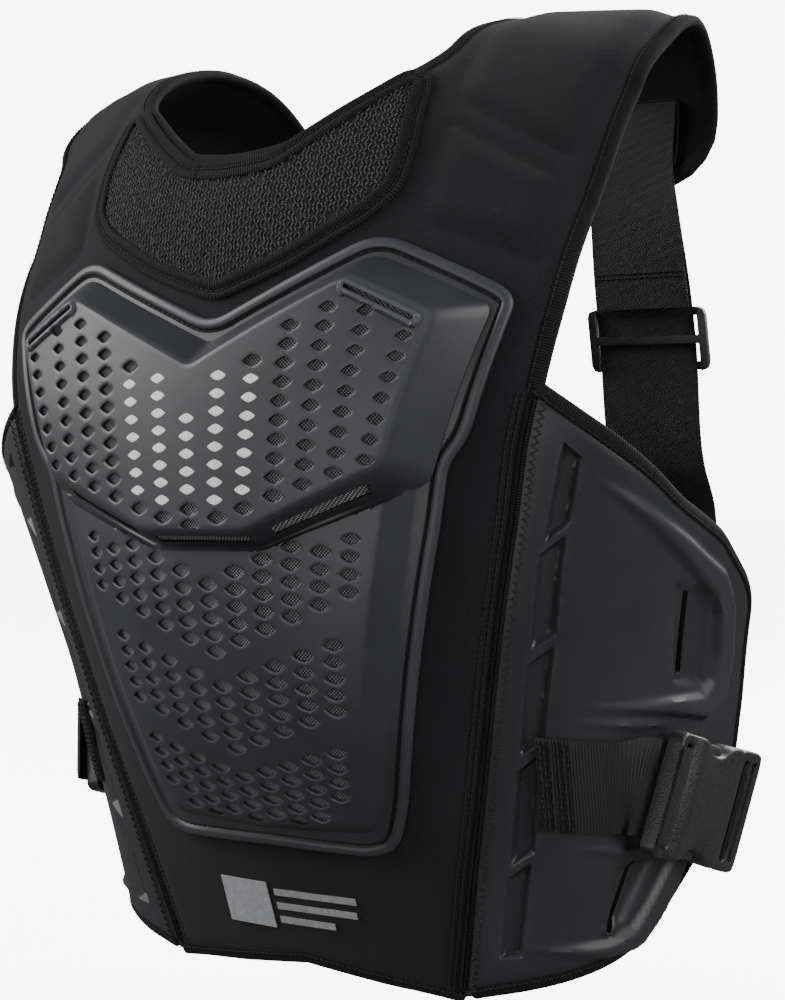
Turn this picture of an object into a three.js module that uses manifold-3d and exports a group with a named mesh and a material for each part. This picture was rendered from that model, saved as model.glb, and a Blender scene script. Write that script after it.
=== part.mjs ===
// Roost deflector: a padded vest front with a moulded chest shield, side wings and strap back.
// Millimetres, +Z up, the wearer faces -Y and the wearer's left is +X.
// The origin is midway between the shoulders, at the height where the pads sit on them.
import * as THREE from 'three';
import { mergeGeometries } from 'three/addons/utils/BufferGeometryUtils.js';
import Module from 'manifold-3d';

// Torso that the vest is cut for
const frontDrop = 482;
const chestDepth = 142;
const chestRadius = 250;
const shoulderRise = 6;
const rearDrop = 70;
const rearDepth = 72;
const rearLean = 20;
const sideTurn = THREE.MathUtils.degToRad(84);
const sideTurnLength = 100;

// Front panel and shoulder pads
const armpitHalf = 160;
const strapInner = 97;
const strapOuter = 184;
const foam = 6;
const padRise = 4;
const padBevel = 5;
const bindingWidth = 3.5;
const bindingProud = 0.8;

// Mesh yoke at the collar
const yokeHalf = 88;
const yokeLength = 110;
const meshThickness = 1.5;
const borderWidth = 7;
const borderThickness = 2.6;

// Chest shield
const shieldHalf = 151;
const shieldLength = 303;
const shell = 2.6;
const flangeWidth = 11;
const upperRise = 17;
const lowerRise = 6;
const holeWidth = 11;
const holeHeight = 7;
const holeColumn = 15.6;
const holeRow = 17.4;
const slotBarWidth = 7;
const slotBarRise = 1.6;
const backingThickness = 1;

// Side wings
const wingReach = 160;
const wingThickness = 6;
const recessDepth = 2.5;
const recessWidth = 12;
const recessInset = 14;
const recessSlant = 10;
const recessWeb = 4;
const ribWidth = 5;
const ribRise = 2.5;
const slotWidth = 7;

// Waist straps and buckles
const webbing = 50;
const webbingThickness = 1.8;
const socketLength = 62;
const socketWidth = 62;
const socketThickness = 13;
const plugLength = 24;
const buckleWall = 3.2;
const barWidth = 5;
const prongWidth = 9;
const scallopRadius = 9;
const buckleLift = 4;

// Rear straps, sliders and back panel
const strapWidth = 52;
const strapThickness = 2;
const sliderHeight = 34;
const sliderWall = 4.5;
const sliderThickness = 2.6;
const backHalf = 150;
const backHeight = 200;
const backTop = -250;
const backDepth = 115;
const backRadius = 500;
const backThickness = 8;

// Blank hem label
const labelWidth = 30;
const labelHeight = 27;
const labelThickness = 0.5;

// Clearance between pieces, and steps of the pattern grid
const gap = 0.35;
const widthStep = 42;
const lengthStep = 26;
const cornerSteps = 2;

const wasm = await Module();
wasm.setup();

// Spine of the garment in the plane of symmetry: shares of the drop, of the depth and of the bend
const frontSpine = [
  [1.0, 0.43, 0.4], [0.91, 0.55, 0.65], [0.805, 0.7, 0.875], [0.69, 0.866, 1.02], [0.587, 0.958, 0.92],
  [0.494, 0.993, 0.75], [0.398, 1.0, 0.575], [0.303, 0.98, 0.6], [0.191, 0.937, 0.8], [0.098, 0.8, 0.8],
  [0.0125, 0.528, 0.65], [-0.0135, 0.243, 0.4],
];
const crownBend = 0.16;
const rearSpine = [[0.02, 0.42, 0.15], [0.29, 0.75, 0.15], [0.63, 0.93, 0.15], [1.0, 1.0, 0.15]];

const spinePoints = [
  ...frontSpine.map(([drop, depth, bend]) => new THREE.Vector3(bend, -depth * chestDepth, -drop * frontDrop)),
  new THREE.Vector3(crownBend, 0, shoulderRise),
  ...rearSpine.map(([drop, depth, bend]) => new THREE.Vector3(bend, depth * rearDepth, -drop * rearDrop)),
];
const spine = new THREE.CatmullRomCurve3(spinePoints);
const spineSamples = 20 * (spinePoints.length - 1);
spine.arcLengthDivisions = spineSamples;
const spineLengths = spine.getLengths();
const frontLength = spineLengths[20 * frontSpine.length];
const rearLength = spineLengths.at(-1) - frontLength;

// Side edge of the front panel: shares of the armpit half width and of the front length
const sideEdge = [
  [1.0, 0.472], [0.955, 0.52], [0.92, 0.57], [0.875, 0.625], [0.77, 0.745],
  [0.645, 0.877], [0.578, 0.959], [0.545, 1.0],
].map(([u, v]) => [u * armpitHalf, -v * frontLength]);
const armpit = sideEdge[0];
const hemCorner = sideEdge.at(-1);

function sideAt(v) {
  if (v >= armpit[1]) return armpit[0] + (v - armpit[1]) * 0.2;
  const i = Math.max(1, sideEdge.findIndex((point) => point[1] <= v));
  const [[u0, v0], [u1, v1]] = [sideEdge[i - 1], sideEdge[i]];
  return THREE.MathUtils.mapLinear(v, v0, v1, u0, u1);
}

// Curved body surface over the flat pattern: u across from the centre, v along the spine
function smoothBody(u, v) {
  const share = THREE.MathUtils.clamp((v + frontLength) / (frontLength + rearLength), 0, 1);
  const at = spine.getPointAt(share);
  const tangent = spine.getTangentAt(share);
  const tilt = Math.max(0, Math.atan2(tangent.y, tangent.z));
  const bend = at.x / chestRadius;
  const seam = sideAt(v);
  const span = Math.abs(u);
  const steps = 60;
  let across = 0;
  let inward = 0;
  for (let i = 0; i < steps; i++) {
    const s = ((i + 0.5) * span) / steps;
    const turned = THREE.MathUtils.smoothstep(s, seam, seam + sideTurnLength);
    const heading = s < seam ? bend * s : THREE.MathUtils.lerp(bend * seam, sideTurn, turned);
    across += (Math.cos(heading) * span) / steps;
    inward += (Math.sin(heading) * span) / steps;
  }
  const lean = rearLean * THREE.MathUtils.clamp(v / rearLength, 0, 1);
  const overrun = Math.max(0, -frontLength - v);
  const x = Math.sign(u) * (across - lean);
  return new THREE.Vector3(x, at.y + inward * Math.cos(tilt), at.z - inward * Math.sin(tilt) - overrun);
}

// Stations of the pattern grid, the same distance apart over the whole garment
const widest = armpitHalf + wingReach * 1.3;
const acrossCount = Math.ceil(widest / widthStep);
const downCount = Math.ceil(frontLength / lengthStep) + 2;
const rearCount = Math.ceil(rearLength / lengthStep) + 2;
const uStations = Array.from({ length: 2 * acrossCount + 1 }, (_, i) => (i - acrossCount) * widthStep);
const vStations = Array.from({ length: downCount + rearCount + 1 }, (_, j) => (j - downCount + 0.5) * lengthStep);
const lowest = vStations[0];
const farthest = vStations.at(-1);

// The surface as flat triangles between the stations, so that stacked layers keep their clearance
const nudge = 0.5;
const bodyGrid = uStations.slice(acrossCount).map((u) => vStations.map((v) => {
  const alongU = smoothBody(u + nudge, v).sub(smoothBody(u - nudge, v));
  const alongV = smoothBody(u, v + nudge).sub(smoothBody(u, v - nudge));
  return { at: smoothBody(u, v), normal: alongU.cross(alongV).normalize() };
}));

function bodyPoint(u, v, height) {
  const column = Math.min(Math.floor(Math.abs(u) / widthStep), acrossCount - 1);
  const row = THREE.MathUtils.clamp(Math.floor((v - lowest) / lengthStep), 0, vStations.length - 2);
  const s = Math.abs(u) / widthStep - column;
  const t = (v - lowest) / lengthStep - row;
  const [start, end] = [bodyGrid[column][row], bodyGrid[column + 1][row + 1]];
  const [corner, first, second] = t < s ? [bodyGrid[column + 1][row], s, t] : [bodyGrid[column][row + 1], t, s];
  const blend = (key) => start[key].clone().lerp(corner[key], first)
    .addScaledVector(end[key].clone().sub(corner[key]), second);
  const point = blend('at').addScaledVector(blend('normal'), height);
  return u < 0 ? point.setX(-point.x) : point;
}

// Flat outlines: corners are [u, v, radius], listed round the piece
function mirrored(half) {
  const other = half.filter((corner) => corner[0] > 0).map(([u, v, radius]) => [-u, v, radius]).reverse();
  return [...half, ...other];
}

function counterClockwise(corners) {
  const flat = corners.map(([u, v]) => new THREE.Vector2(u, v));
  return THREE.ShapeUtils.isClockWise(flat) ? [...corners].reverse() : corners;
}

function rounded(corners) {
  return counterClockwise(corners).flatMap(([u, v, radius = 0], i, list) => {
    const at = new THREE.Vector2(u, v);
    if (radius === 0) return [at];
    const neighbours = [list.at(i - 1), list[(i + 1) % list.length]].map((n) => new THREE.Vector2(n[0], n[1]));
    const [from, to] = neighbours.map((n) => at.clone().lerp(n, Math.min(0.45, radius / at.distanceTo(n))));
    return new THREE.QuadraticBezierCurve(from, at, to).getPoints(cornerSteps);
  });
}

function grown(corners, distance) {
  return counterClockwise(corners).map(([u, v, radius], i, list) => {
    const at = new THREE.Vector2(u, v);
    const before = at.clone().sub(new THREE.Vector2(...list.at(i - 1))).normalize();
    const after = new THREE.Vector2(...list[(i + 1) % list.length]).sub(at).normalize();
    const outward = new THREE.Vector2(before.y + after.y, -before.x - after.x).normalize();
    const reach = distance / Math.max(0.4, outward.dot(new THREE.Vector2(after.y, -after.x)));
    return [u + outward.x * reach, v + outward.y * reach, radius];
  });
}

function bar([u0, v0], [u1, v1], width) {
  const side = new THREE.Vector2(v1 - v0, u0 - u1).setLength(width / 2);
  return [
    [u0 + side.x, v0 + side.y], [u1 + side.x, v1 + side.y],
    [u1 - side.x, v1 - side.y], [u0 - side.x, v0 - side.y],
  ];
}

function box(u0, u1, v0, v1, radius = 0) {
  return [[u0, v0, radius], [u1, v0, radius], [u1, v1, radius], [u0, v1, radius]];
}

// Solids over an outline, straight or tapering to a second outline with as many corners
function taper(base, top, low, high) {
  const loops = [rounded(base), rounded(top)];
  const count = loops[0].length;
  const positions = loops.flatMap((loop, level) => loop.flatMap((p) => [p.x, p.y, level ? high : low]));
  const floor = THREE.ShapeUtils.triangulateShape(loops[0], []).flatMap(([a, b, c]) => [a, c, b]);
  const lid = THREE.ShapeUtils.triangulateShape(loops[1], []).flat().map((i) => i + count);
  const walls = loops[0].flatMap((_, i) => {
    const next = (i + 1) % count;
    return [i, next, next + count, i, next + count, i + count];
  });
  const geometry = new THREE.BufferGeometry();
  geometry.setAttribute('position', new THREE.Float32BufferAttribute(positions, 3));
  geometry.setIndex([...floor, ...lid, ...walls]);
  return geometry;
}

function prism(corners, low, high) {
  return taper(corners, corners, low, high);
}

function solid(geometry) {
  const vertProperties = new Float32Array(geometry.getAttribute('position').array);
  const triVerts = new Uint32Array(geometry.getIndex().array);
  return new wasm.Manifold(new wasm.Mesh({ numProp: 3, vertProperties, triVerts }));
}

function joined(...geometries) {
  return geometries.map(solid).reduce((whole, extra) => whole.add(extra));
}

// Three families of fold lines: across, along and diagonal, as slabs between each line and the next
const far = 1000;
const slope = lengthStep / widthStep;
const foldLines = [
  { measure: ([u]) => u, list: uStations, slab: (from, to) => box(from, to, -far, far) },
  { measure: ([, v]) => v, list: vStations, slab: (from, to) => box(-far, far, from, to) },
  {
    measure: ([u, v]) => v - slope * Math.abs(u),
    list: Array.from({ length: vStations.length + acrossCount }, (_, j) => lowest + (j - acrossCount) * lengthStep),
    slab: (from, to) => {
      const reach = acrossCount * widthStep;
      const [low, high] = [from + slope * reach, to + slope * reach];
      return [[-reach, low], [0, from], [reach, low], [reach, high], [0, to], [-reach, high]];
    },
  },
];

function slabs({ list, slab }, parity) {
  const spans = list.slice(1).map((to, i) => [list[i], to]).filter((_, i) => i % 2 === parity);
  return solid(mergeGeometries(spans.map(([from, to]) => prism(slab(from, to), -far, far))));
}

function onFold(corners, { measure, list }) {
  return list.some((station) => corners.every((corner) => Math.abs(measure(corner) - station) < mergeDistance));
}

// Cuts the solid along the fold lines, so that it can bend there, and joins its outer faces again
const mergeDistance = 2e-3;
const stitchDistance = 0.03;
function folded(manifold, folds) {
  const points = [];
  const triangles = [];
  const buckets = new Map();
  const key = (x, y, z) => `${x} ${y} ${z}`;
  const indexOf = (point) => {
    const [x, y, z] = point.map((value) => Math.round(value / mergeDistance / 4));
    const around = [-1, 0, 1];
    for (const i of around) for (const j of around) for (const k of around) {
      const found = (buckets.get(key(x + i, y + j, z + k)) ?? []).find((index) =>
        points[index].every((value, axis) => Math.abs(value - point[axis]) < mergeDistance));
      if (found !== undefined) return found;
    }
    const index = points.push(point) - 1;
    buckets.set(key(x, y, z), [...(buckets.get(key(x, y, z)) ?? []), index]);
    return index;
  };
  let parts = [manifold];
  for (const fold of folds) {
    parts = parts.flatMap((part) => [0, 1].map((parity) => part.intersect(slabs(fold, parity))));
  }
  for (const mesh of parts.map(meshOf)) {
    for (const triangle of mesh.triangles) {
      const corners = triangle.map((i) => mesh.points[i]);
      const face = folds.some((fold) => onFold(corners, fold)) ? [] : corners.map(indexOf);
      if (new Set(face).size === 3) triangles.push(face);
    }
  }
  return stitched({ points, triangles });
}

// Splits a face where its neighbours across one edge have more corners on that edge than it has
function stitched({ points, triangles }) {
  const at = points.map((point) => new THREE.Vector3(...point));
  let faces = triangles;
  for (let side = 0; side < 3; side++) {
    const directed = new Set(faces.flatMap(([a, b, c]) => [`${a} ${b}`, `${b} ${c}`, `${c} ${a}`]));
    const openEdge = (face) => [0, 1, 2].find((k) => {
      const [a, b] = [face[k], face[(k + 1) % 3]];
      return !directed.has(`${b} ${a}`) && between(a, b).length > 0;
    });
    const openFaces = faces.filter(([a, b, c]) => [[a, b], [b, c], [c, a]].some(([p, q]) => !directed.has(`${q} ${p}`)));
    const loose = [...new Set(openFaces.flat())];
    const between = (a, b) => {
      const edge = new THREE.Line3(at[a], at[b]);
      const shareOf = (i) => edge.closestPointToPointParameter(at[i], false);
      return loose
        .filter((i) => i !== a && i !== b && shareOf(i) > 0 && shareOf(i) < 1)
        .filter((i) => edge.at(shareOf(i), new THREE.Vector3()).distanceTo(at[i]) < stitchDistance)
        .sort((i, j) => shareOf(i) - shareOf(j));
    };
    const isOpen = new Set(openFaces);
    faces = faces.flatMap((face) => {
      const k = isOpen.has(face) ? openEdge(face) : undefined;
      if (k === undefined) return [face];
      const [a, b, c] = [0, 1, 2].map((offset) => face[(k + offset) % 3]);
      const chain = [a, ...between(a, b), b];
      return chain.slice(1).map((next, i) => [chain[i], next, c]);
    });
  }
  return { points, triangles: faces };
}

function meshOf(manifold) {
  const { vertProperties, triVerts, numProp } = manifold.getMesh();
  const points = Array.from({ length: vertProperties.length / numProp }, (_, i) =>
    [0, 1, 2].map((k) => vertProperties[i * numProp + k]));
  const triangles = Array.from({ length: triVerts.length / 3 }, (_, i) => [0, 1, 2].map((k) => triVerts[3 * i + k]));
  return { points, triangles };
}

function geometryOf({ points, triangles }, place) {
  const geometry = new THREE.BufferGeometry();
  const positions = points.flatMap(([u, v, height]) => place(u, v, height).toArray());
  geometry.setAttribute('position', new THREE.Float32BufferAttribute(positions, 3));
  geometry.setIndex(triangles.flat());
  geometry.computeVertexNormals();
  return geometry;
}

function worn(manifold) {
  return geometryOf(folded(manifold, foldLines), bodyPoint);
}

function mirroredGeometry(geometry) {
  const other = geometry.clone().scale(-1, 1, 1);
  const index = [...other.getIndex().array];
  other.setIndex(index.map((_, i) => index[i - (i % 3) + [0, 2, 1][i % 3]]));
  other.computeVertexNormals();
  return other;
}

const group = new THREE.Group();

function addPiece(name, geometry, color, roughness, metalness = 0) {
  const mesh = new THREE.Mesh(geometry, new THREE.MeshStandardMaterial({ color, roughness, metalness }));
  mesh.name = name;
  group.add(mesh);
}

function addPair(name, geometry, color, roughness) {
  addPiece(`${name}_left`, geometry, color, roughness);
  addPiece(`${name}_right`, mirroredGeometry(geometry), color, roughness);
}

// Front panel: foam under knitted cloth, from the hem up over both shoulders
const neckEdge = [
  [0, 0.278, 12], [0.3, 0.27, 8], [0.52, 0.24, 8], [0.72, 0.208, 8], [0.88, 0.182, 8], [0.97, 0.155, 8],
].map(([u, v, radius]) => [u * strapInner, -v * frontLength, radius]);
const strapOutside = [
  [0.96, 0.335, 10], [0.985, 0.259, 10], [1.0, 0.128, 10],
].map(([u, v, radius]) => [u * strapOuter, -v * frontLength, radius]);
const rearEnd = rearLength - bindingWidth - gap;
const rearRadius = 0.36 * (strapOuter - strapInner);
const hemArch = 11;
const panelOutline = mirrored([
  ...neckEdge,
  [strapInner, -0.08 * frontLength, 8], [strapInner, 0], [strapInner, rearEnd, rearRadius],
  [strapOuter, rearEnd, rearRadius], [strapOuter, 0],
  ...[...strapOutside].reverse(),
  ...sideEdge,
  [0, hemCorner[1] + hemArch],
]);

function shoulderPad(corners) {
  return taper(corners, grown(corners, -padBevel), foam - padBevel / 10, foam + padRise);
}

function frontPanel() {
  const strapWide = strapOuter - strapInner;
  const onStrap = (share, length) => [strapInner + share * strapWide, length * frontLength, padBevel * 1.6];
  const upper = [
    onStrap(0.1, -0.215), onStrap(0.8, -0.26), onStrap(0.9, -0.13), onStrap(0.9, 0.03),
    onStrap(0.12, 0.03), onStrap(0.1, -0.13),
  ];
  const lower = [onStrap(0.1, -0.24), onStrap(0.78, -0.287), onStrap(0.74, -0.38), onStrap(0.06, -0.34)];
  const pads = [upper, lower].flatMap((pad) => [pad, pad.map(([u, v, radius]) => [-u, v, radius])]);
  return joined(prism(panelOutline, 0, foam), ...pads.map(shoulderPad));
}
addPiece('front_panel', worn(frontPanel()), 0x1a1b1d, 0.85);

// Edge bindings: a bead of tape along each free edge of the front panel
const strapMiddle = (strapInner + strapOuter) / 2;
function panelBinding(region) {
  const outer = prism(grown(panelOutline, gap + bindingWidth), -bindingProud, foam + bindingProud);
  const inner = prism(grown(panelOutline, gap), -foam, 2 * foam);
  return worn(solid(outer).subtract(solid(inner)).intersect(solid(prism(region, -foam, 2 * foam))));
}
const neckBase = neckEdge[0][1];
const strapEndFar = farthest;
const armLow = armpit[1] + 4 * bindingWidth;
addPiece('collar_binding', panelBinding(box(-strapMiddle, strapMiddle, neckBase - 20, strapEndFar)), 0x141415, 0.9);
addPair('arm_binding', panelBinding(box(strapMiddle + gap, widest, armLow, strapEndFar)), 0x141415, 0.9);
const hemEnd = hemCorner[0] - gap;
addPiece('hem_binding', panelBinding(box(-hemEnd, hemEnd, lowest, hemCorner[1] + 2 * hemArch)), 0x141415, 0.9);

// Mesh yoke below the collar, inside a sewn border
const yokeBottom = -0.383 * frontLength;
const yokeOutline = mirrored([
  [0, 0.47, 10], [0.31, 0.5, 8], [0.57, 0.66, 8], [0.8, 0.83, 8], [0.975, 0.985, 6],
  [1.0, 0.6, 8], [0.975, 0.41, 6], [0.84, 0.3, 6], [0.43, 0.12, 8], [0, 0, 6],
].map(([u, v, radius]) => [u * yokeHalf, yokeBottom + v * yokeLength, radius]));
const clothTop = foam + gap;
const meshSheet = solid(prism(yokeOutline, clothTop, clothTop + meshThickness));
addPiece('mesh_yoke', worn(meshSheet), 0x2a2b2d, 0.8);
const borderOuter = grown(yokeOutline, gap + borderWidth);
const borderInner = solid(prism(grown(yokeOutline, gap), 0, 2 * foam));
const yokeBorder = solid(prism(borderOuter, clothTop, clothTop + borderThickness)).subtract(borderInner);
addPiece('yoke_border', worn(yokeBorder), 0x151617, 0.85);

// Chest shield outlines: shares of its half width and of its length
const shieldTop = -0.349 * frontLength;
const onShield = ([u, v, radius]) => [u * shieldHalf, shieldTop - v * shieldLength, radius];
const flangeOutline = mirrored([
  [0, 0.129, 4], [0.57, 0, 12], [1.0, 0.1, 10], [0.97, 0.15, 8], [0.865, 0.31, 10], [0.795, 0.352, 6],
  [0.76, 0.44, 8], [0.64, 0.67, 10], [0.525, 0.9, 8], [0.47, 0.98, 12], [0.38, 1.0, 8], [0, 0.995],
].map(onShield));
const upperBase = mirrored([
  [0, 0.162, 4], [0.56, 0.035, 8], [0.93, 0.118, 6], [0.74, 0.372, 6], [0.2, 0.476, 6], [0, 0.476],
].map(onShield));
const upperTop = mirrored([
  [0, 0.205, 4], [0.515, 0.08, 8], [0.765, 0.14, 6], [0.61, 0.355, 6], [0.185, 0.458, 6], [0, 0.458],
].map(onShield));
const lowerBase = mirrored([
  [0, 0.486], [0.205, 0.486, 4], [0.7, 0.392, 4], [0.57, 0.67, 8], [0.46, 0.89, 8], [0.4, 0.955, 8], [0, 0.962],
].map(onShield));
const flangeTop = clothTop + shell;
const lowerTop = grown(lowerBase, -lowerRise);

function diamond([u, v]) {
  return [[u - holeWidth / 2, v], [u, v - holeHeight / 2], [u + holeWidth / 2, v], [u, v + holeHeight / 2]];
}

function pierced(centres, low, high) {
  return solid(mergeGeometries(centres.map((centre) => prism(diamond(centre), low, high))));
}

function chevron(columns, rows, top, rise, keep = () => true) {
  const centres = [];
  for (let column = -columns; column <= columns; column++) {
    for (let row = 0; row < rows; row++) {
      const stagger = Math.abs(column) % 2 ? holeRow / 2 : 0;
      const centre = [column * holeColumn, top - row * holeRow - stagger + rise * Math.abs(column) * holeColumn];
      if (keep(centre)) centres.push(centre);
    }
  }
  return centres;
}

// Shield base: the sewn flange and the perforated lower plate, pressed in one piece
function shieldBase() {
  const flange = prism(flangeOutline, clothTop, flangeTop);
  const lower = taper(lowerBase, lowerTop, flangeTop - shell / 4, flangeTop + lowerRise);
  const underside = taper(grown(lowerBase, -shell), grown(lowerTop, -shell), 0, flangeTop + lowerRise - shell);
  const window = prism(grown(upperBase, -flangeWidth / 2), 0, 3 * foam);
  const start = shieldTop - 0.55 * shieldLength;
  const inside = (share) => ([u, v]) => Math.abs(u) < share * shieldHalf && v > shieldTop - 0.94 * shieldLength;
  const holes = [
    ...chevron(5, 2, start, 0.34, inside(0.55)),
    ...chevron(4, 2, start - 0.16 * shieldLength, 0.2, inside(0.5)),
    ...chevron(3, 2, start - 0.3 * shieldLength, 0.1, inside(0.42)),
  ];
  return joined(flange, lower).subtract(solid(underside)).subtract(solid(window)).subtract(pierced(holes, 0, 4 * foam));
}
addPiece('shield_base', worn(shieldBase()), 0x303133, 0.45);

// Shield plate: the raised upper shell with its V top, end bars and perforations
function shieldPlate() {
  const seat = flangeTop + gap;
  const plateau = flangeTop + upperRise;
  const body = taper(upperBase, upperTop, seat, plateau);
  const underside = taper(grown(upperBase, -shell), grown(upperTop, -shell), seat - shell, plateau - shell);
  const barEnds = [[0.53, 0.1], [0.745, 0.155]].map(onShield);
  const bars = [1, -1].map((side) => {
    const ends = barEnds.map(([u, v]) => [side * u, v]);
    return prism(bar(...ends, slotBarWidth), plateau - shell / 2, plateau + slotBarRise);
  });
  const slots = [1, -1].map((side) => {
    const ends = barEnds.map(([u, v]) => [side * u, v]);
    return prism(bar(...ends, slotBarWidth / 3), plateau - 2 * shell, plateau + foam);
  });
  const keep = ([u, v]) => {
    const share = Math.abs(u) / shieldHalf;
    const above = shieldTop - (0.245 - 0.1 * Math.min(1, share / 0.3)) * shieldLength;
    const below = shieldTop - (0.44 - 0.2 * share) * shieldLength;
    return v < above - holeHeight && v > below && share < 0.6 && (share > 0.22 || v < below + holeRow);
  };
  const holes = chevron(5, 7, shieldTop - 0.14 * shieldLength, 0, keep);
  const shellBody = joined(body, ...bars).subtract(solid(underside)).subtract(pierced(holes, 0, 8 * foam));
  return slots.map(solid).reduce((whole, slot) => whole.subtract(slot), shellBody);
}
addPiece('shield_plate', worn(shieldPlate()), 0x343537, 0.4);

// Light mesh cloth close behind the perforations, one sheet in the hollow of each plate
function backing(plateTop, rise) {
  const high = flangeTop + rise - shell - gap;
  return worn(solid(prism(grown(plateTop, -shell - gap), high - backingThickness, high)));
}
addPiece('shield_mesh_upper', backing(upperTop, upperRise), 0x6a6c70, 0.8);
addPiece('shield_mesh_lower', backing(lowerTop, lowerRise), 0x6a6c70, 0.8);

// Side wing: moulded foam sewn along the side edge, wrapping round to the flank
const onWing = ([reach, length, radius]) => {
  const v = -length * frontLength;
  return [sideAt(v) + 2 * gap + reach * wingReach, v, radius];
};
const wingOutline = [
  ...sideEdge.map(([u, v]) => [u + 2 * gap, v]),
  ...[
    [0.06, 0.992, 4], [0.275, 0.976, 8], [0.44, 0.963, 8], [0.62, 0.945, 10], [0.79, 0.906, 10],
    [0.98, 0.86, 10], [1.075, 0.794, 10], [1.09, 0.731, 10], [1.06, 0.644, 8], [1.0, 0.624, 8],
    [0.79, 0.586, 10], [0.5, 0.559, 10], [0.34, 0.53, 8], [0.2, 0.506, 8],
  ].map(onWing),
];

function recesses() {
  const count = 5;
  const top = -0.512 * frontLength;
  const pitch = (0.455 * frontLength) / count;
  return Array.from({ length: count }, (_, i) => {
    const [high, low] = [top - i * pitch, top - (i + 1) * pitch + recessWeb];
    const inner = (v) => sideAt(v) + recessInset;
    const corners = [
      [inner(high), high - recessSlant, 2], [inner(low), low, 2],
      [inner(low) + recessWidth, low + recessSlant, 2], [inner(high) + recessWidth, high, 2],
    ];
    return prism(corners, wingThickness - recessDepth, 2 * wingThickness);
  });
}

function sideWing() {
  const ribTop = wingThickness + ribRise;
  const sunk = wingThickness - recessDepth / 2;
  const ribLines = [
    [[0.23, 0.55], [0.66, 0.63]], [[0.3, 0.735], [0.68, 0.712]], [[0.87, 0.63], [0.89, 0.722]],
    [[0.66, 0.63], [0.87, 0.63]], [[0.66, 0.88], [0.44, 0.94]], [[0.3, 0.94], [0.44, 0.94]],
  ];
  const ribs = ribLines.map((ends) => prism(bar(...ends.map(onWing), ribWidth), sunk, ribTop));
  const pocketCorners = [[0.62, 0.64, 3], [0.83, 0.64, 3], [0.85, 0.72, 3], [0.64, 0.715, 3]].map(onWing);
  const pocket = prism(pocketCorners, wingThickness - recessDepth, ribTop + 1);
  const slotLines = [[[0.665, 0.645], [0.68, 0.705]], [[0.5, 0.87], [0.43, 0.925]]];
  const slots = slotLines.map((ends) => prism(bar(...ends.map(onWing), slotWidth), -foam, 3 * foam));
  const body = joined(prism(wingOutline, 0, wingThickness), ...ribs);
  return [...recesses(), pocket, ...slots].reduce((whole, cut) => whole.subtract(solid(cut)), body);
}
addPair('side_wing', worn(sideWing()), 0x3f4143, 0.6);

function wingBinding() {
  const outer = prism(grown(wingOutline, gap + bindingWidth), -bindingProud, wingThickness + bindingProud);
  const inner = prism(grown(wingOutline, gap), -foam, 2 * foam);
  const clearOfPanel = prism(grown(panelOutline, 2 * bindingWidth), -foam, 2 * foam);
  const region = prism(box(hemCorner[0] + bindingWidth, widest, lowest, 0), -foam, 2 * foam);
  return solid(outer).subtract(solid(inner)).subtract(solid(clearOfPanel)).intersect(solid(region));
}
addPair('wing_binding', worn(wingBinding()), 0x141415, 0.9);

// Band of webbing through stations, each a function that gives the point at a distance t across it
function band(list, width, thickness, columns = 1) {
  const across = Array.from({ length: columns + 1 }, (_, c) => (c / columns - 0.5) * width);
  const lines = across.map((t) => new THREE.CatmullRomCurve3(list.map((station) => station(t))));
  const rings = (list.length - 1) * 3;
  const count = columns + 1;
  const points = [];
  for (let i = 0; i <= rings; i++) {
    const at = lines.map((line) => line.getPoint(i / rings));
    const faces = [-0.5, 0.5].map((side) => at.map((point, c) => {
      const over = at[Math.min(c + 1, columns)].clone().sub(at[Math.max(c - 1, 0)]);
      const normal = lines[c].getTangent(i / rings).cross(over).normalize();
      return point.clone().addScaledVector(normal, side * thickness);
    }));
    points.push(...faces[0], ...faces[1].reverse());
  }
  const ring = 2 * count;
  const last = rings * ring;
  const triangles = [];
  for (let c = 0; c < columns; c++) {
    const [a, b, d, e] = [c, c + 1, ring - 1 - c, ring - 2 - c];
    triangles.push([a, d, e], [a, e, b], [last + a, last + e, last + d], [last + a, last + b, last + e]);
  }
  for (let i = 0; i < last; i += ring) {
    for (let k = 0; k < ring; k++) {
      const [a, b] = [i + k, i + ((k + 1) % ring)];
      triangles.push([a, b, b + ring], [a, b + ring, a + ring]);
    }
  }
  return geometryOf({ points: points.map((p) => p.toArray()), triangles }, (x, y, z) => new THREE.Vector3(x, y, z));
}

const straight = (at, across) => (t) => at.clone().addScaledVector(across, t);

// Buckle frame: s along the waist strap, t across it, n away from the wing
const [buckleU, buckleV] = onWing([0.66, 0.815]);
const strapSlope = THREE.MathUtils.degToRad(-14);
const buckleCentre = bodyPoint(buckleU, buckleV, wingThickness + ribRise + buckleLift);
const uDirection = bodyPoint(buckleU + 1, buckleV, 0).sub(bodyPoint(buckleU - 1, buckleV, 0));
const vDirection = bodyPoint(buckleU, buckleV + 1, 0).sub(bodyPoint(buckleU, buckleV - 1, 0));
const buckleNormal = uDirection.clone().cross(vDirection).normalize();
const buckleAlong = uDirection.clone().normalize().applyAxisAngle(buckleNormal, strapSlope);
const buckleAcross = buckleNormal.clone().cross(buckleAlong);

function bucklePoint(s, t, n) {
  return buckleCentre.clone().addScaledVector(buckleAlong, s - socketLength / 2)
    .addScaledVector(buckleAcross, t).addScaledVector(buckleNormal, n);
}

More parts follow.
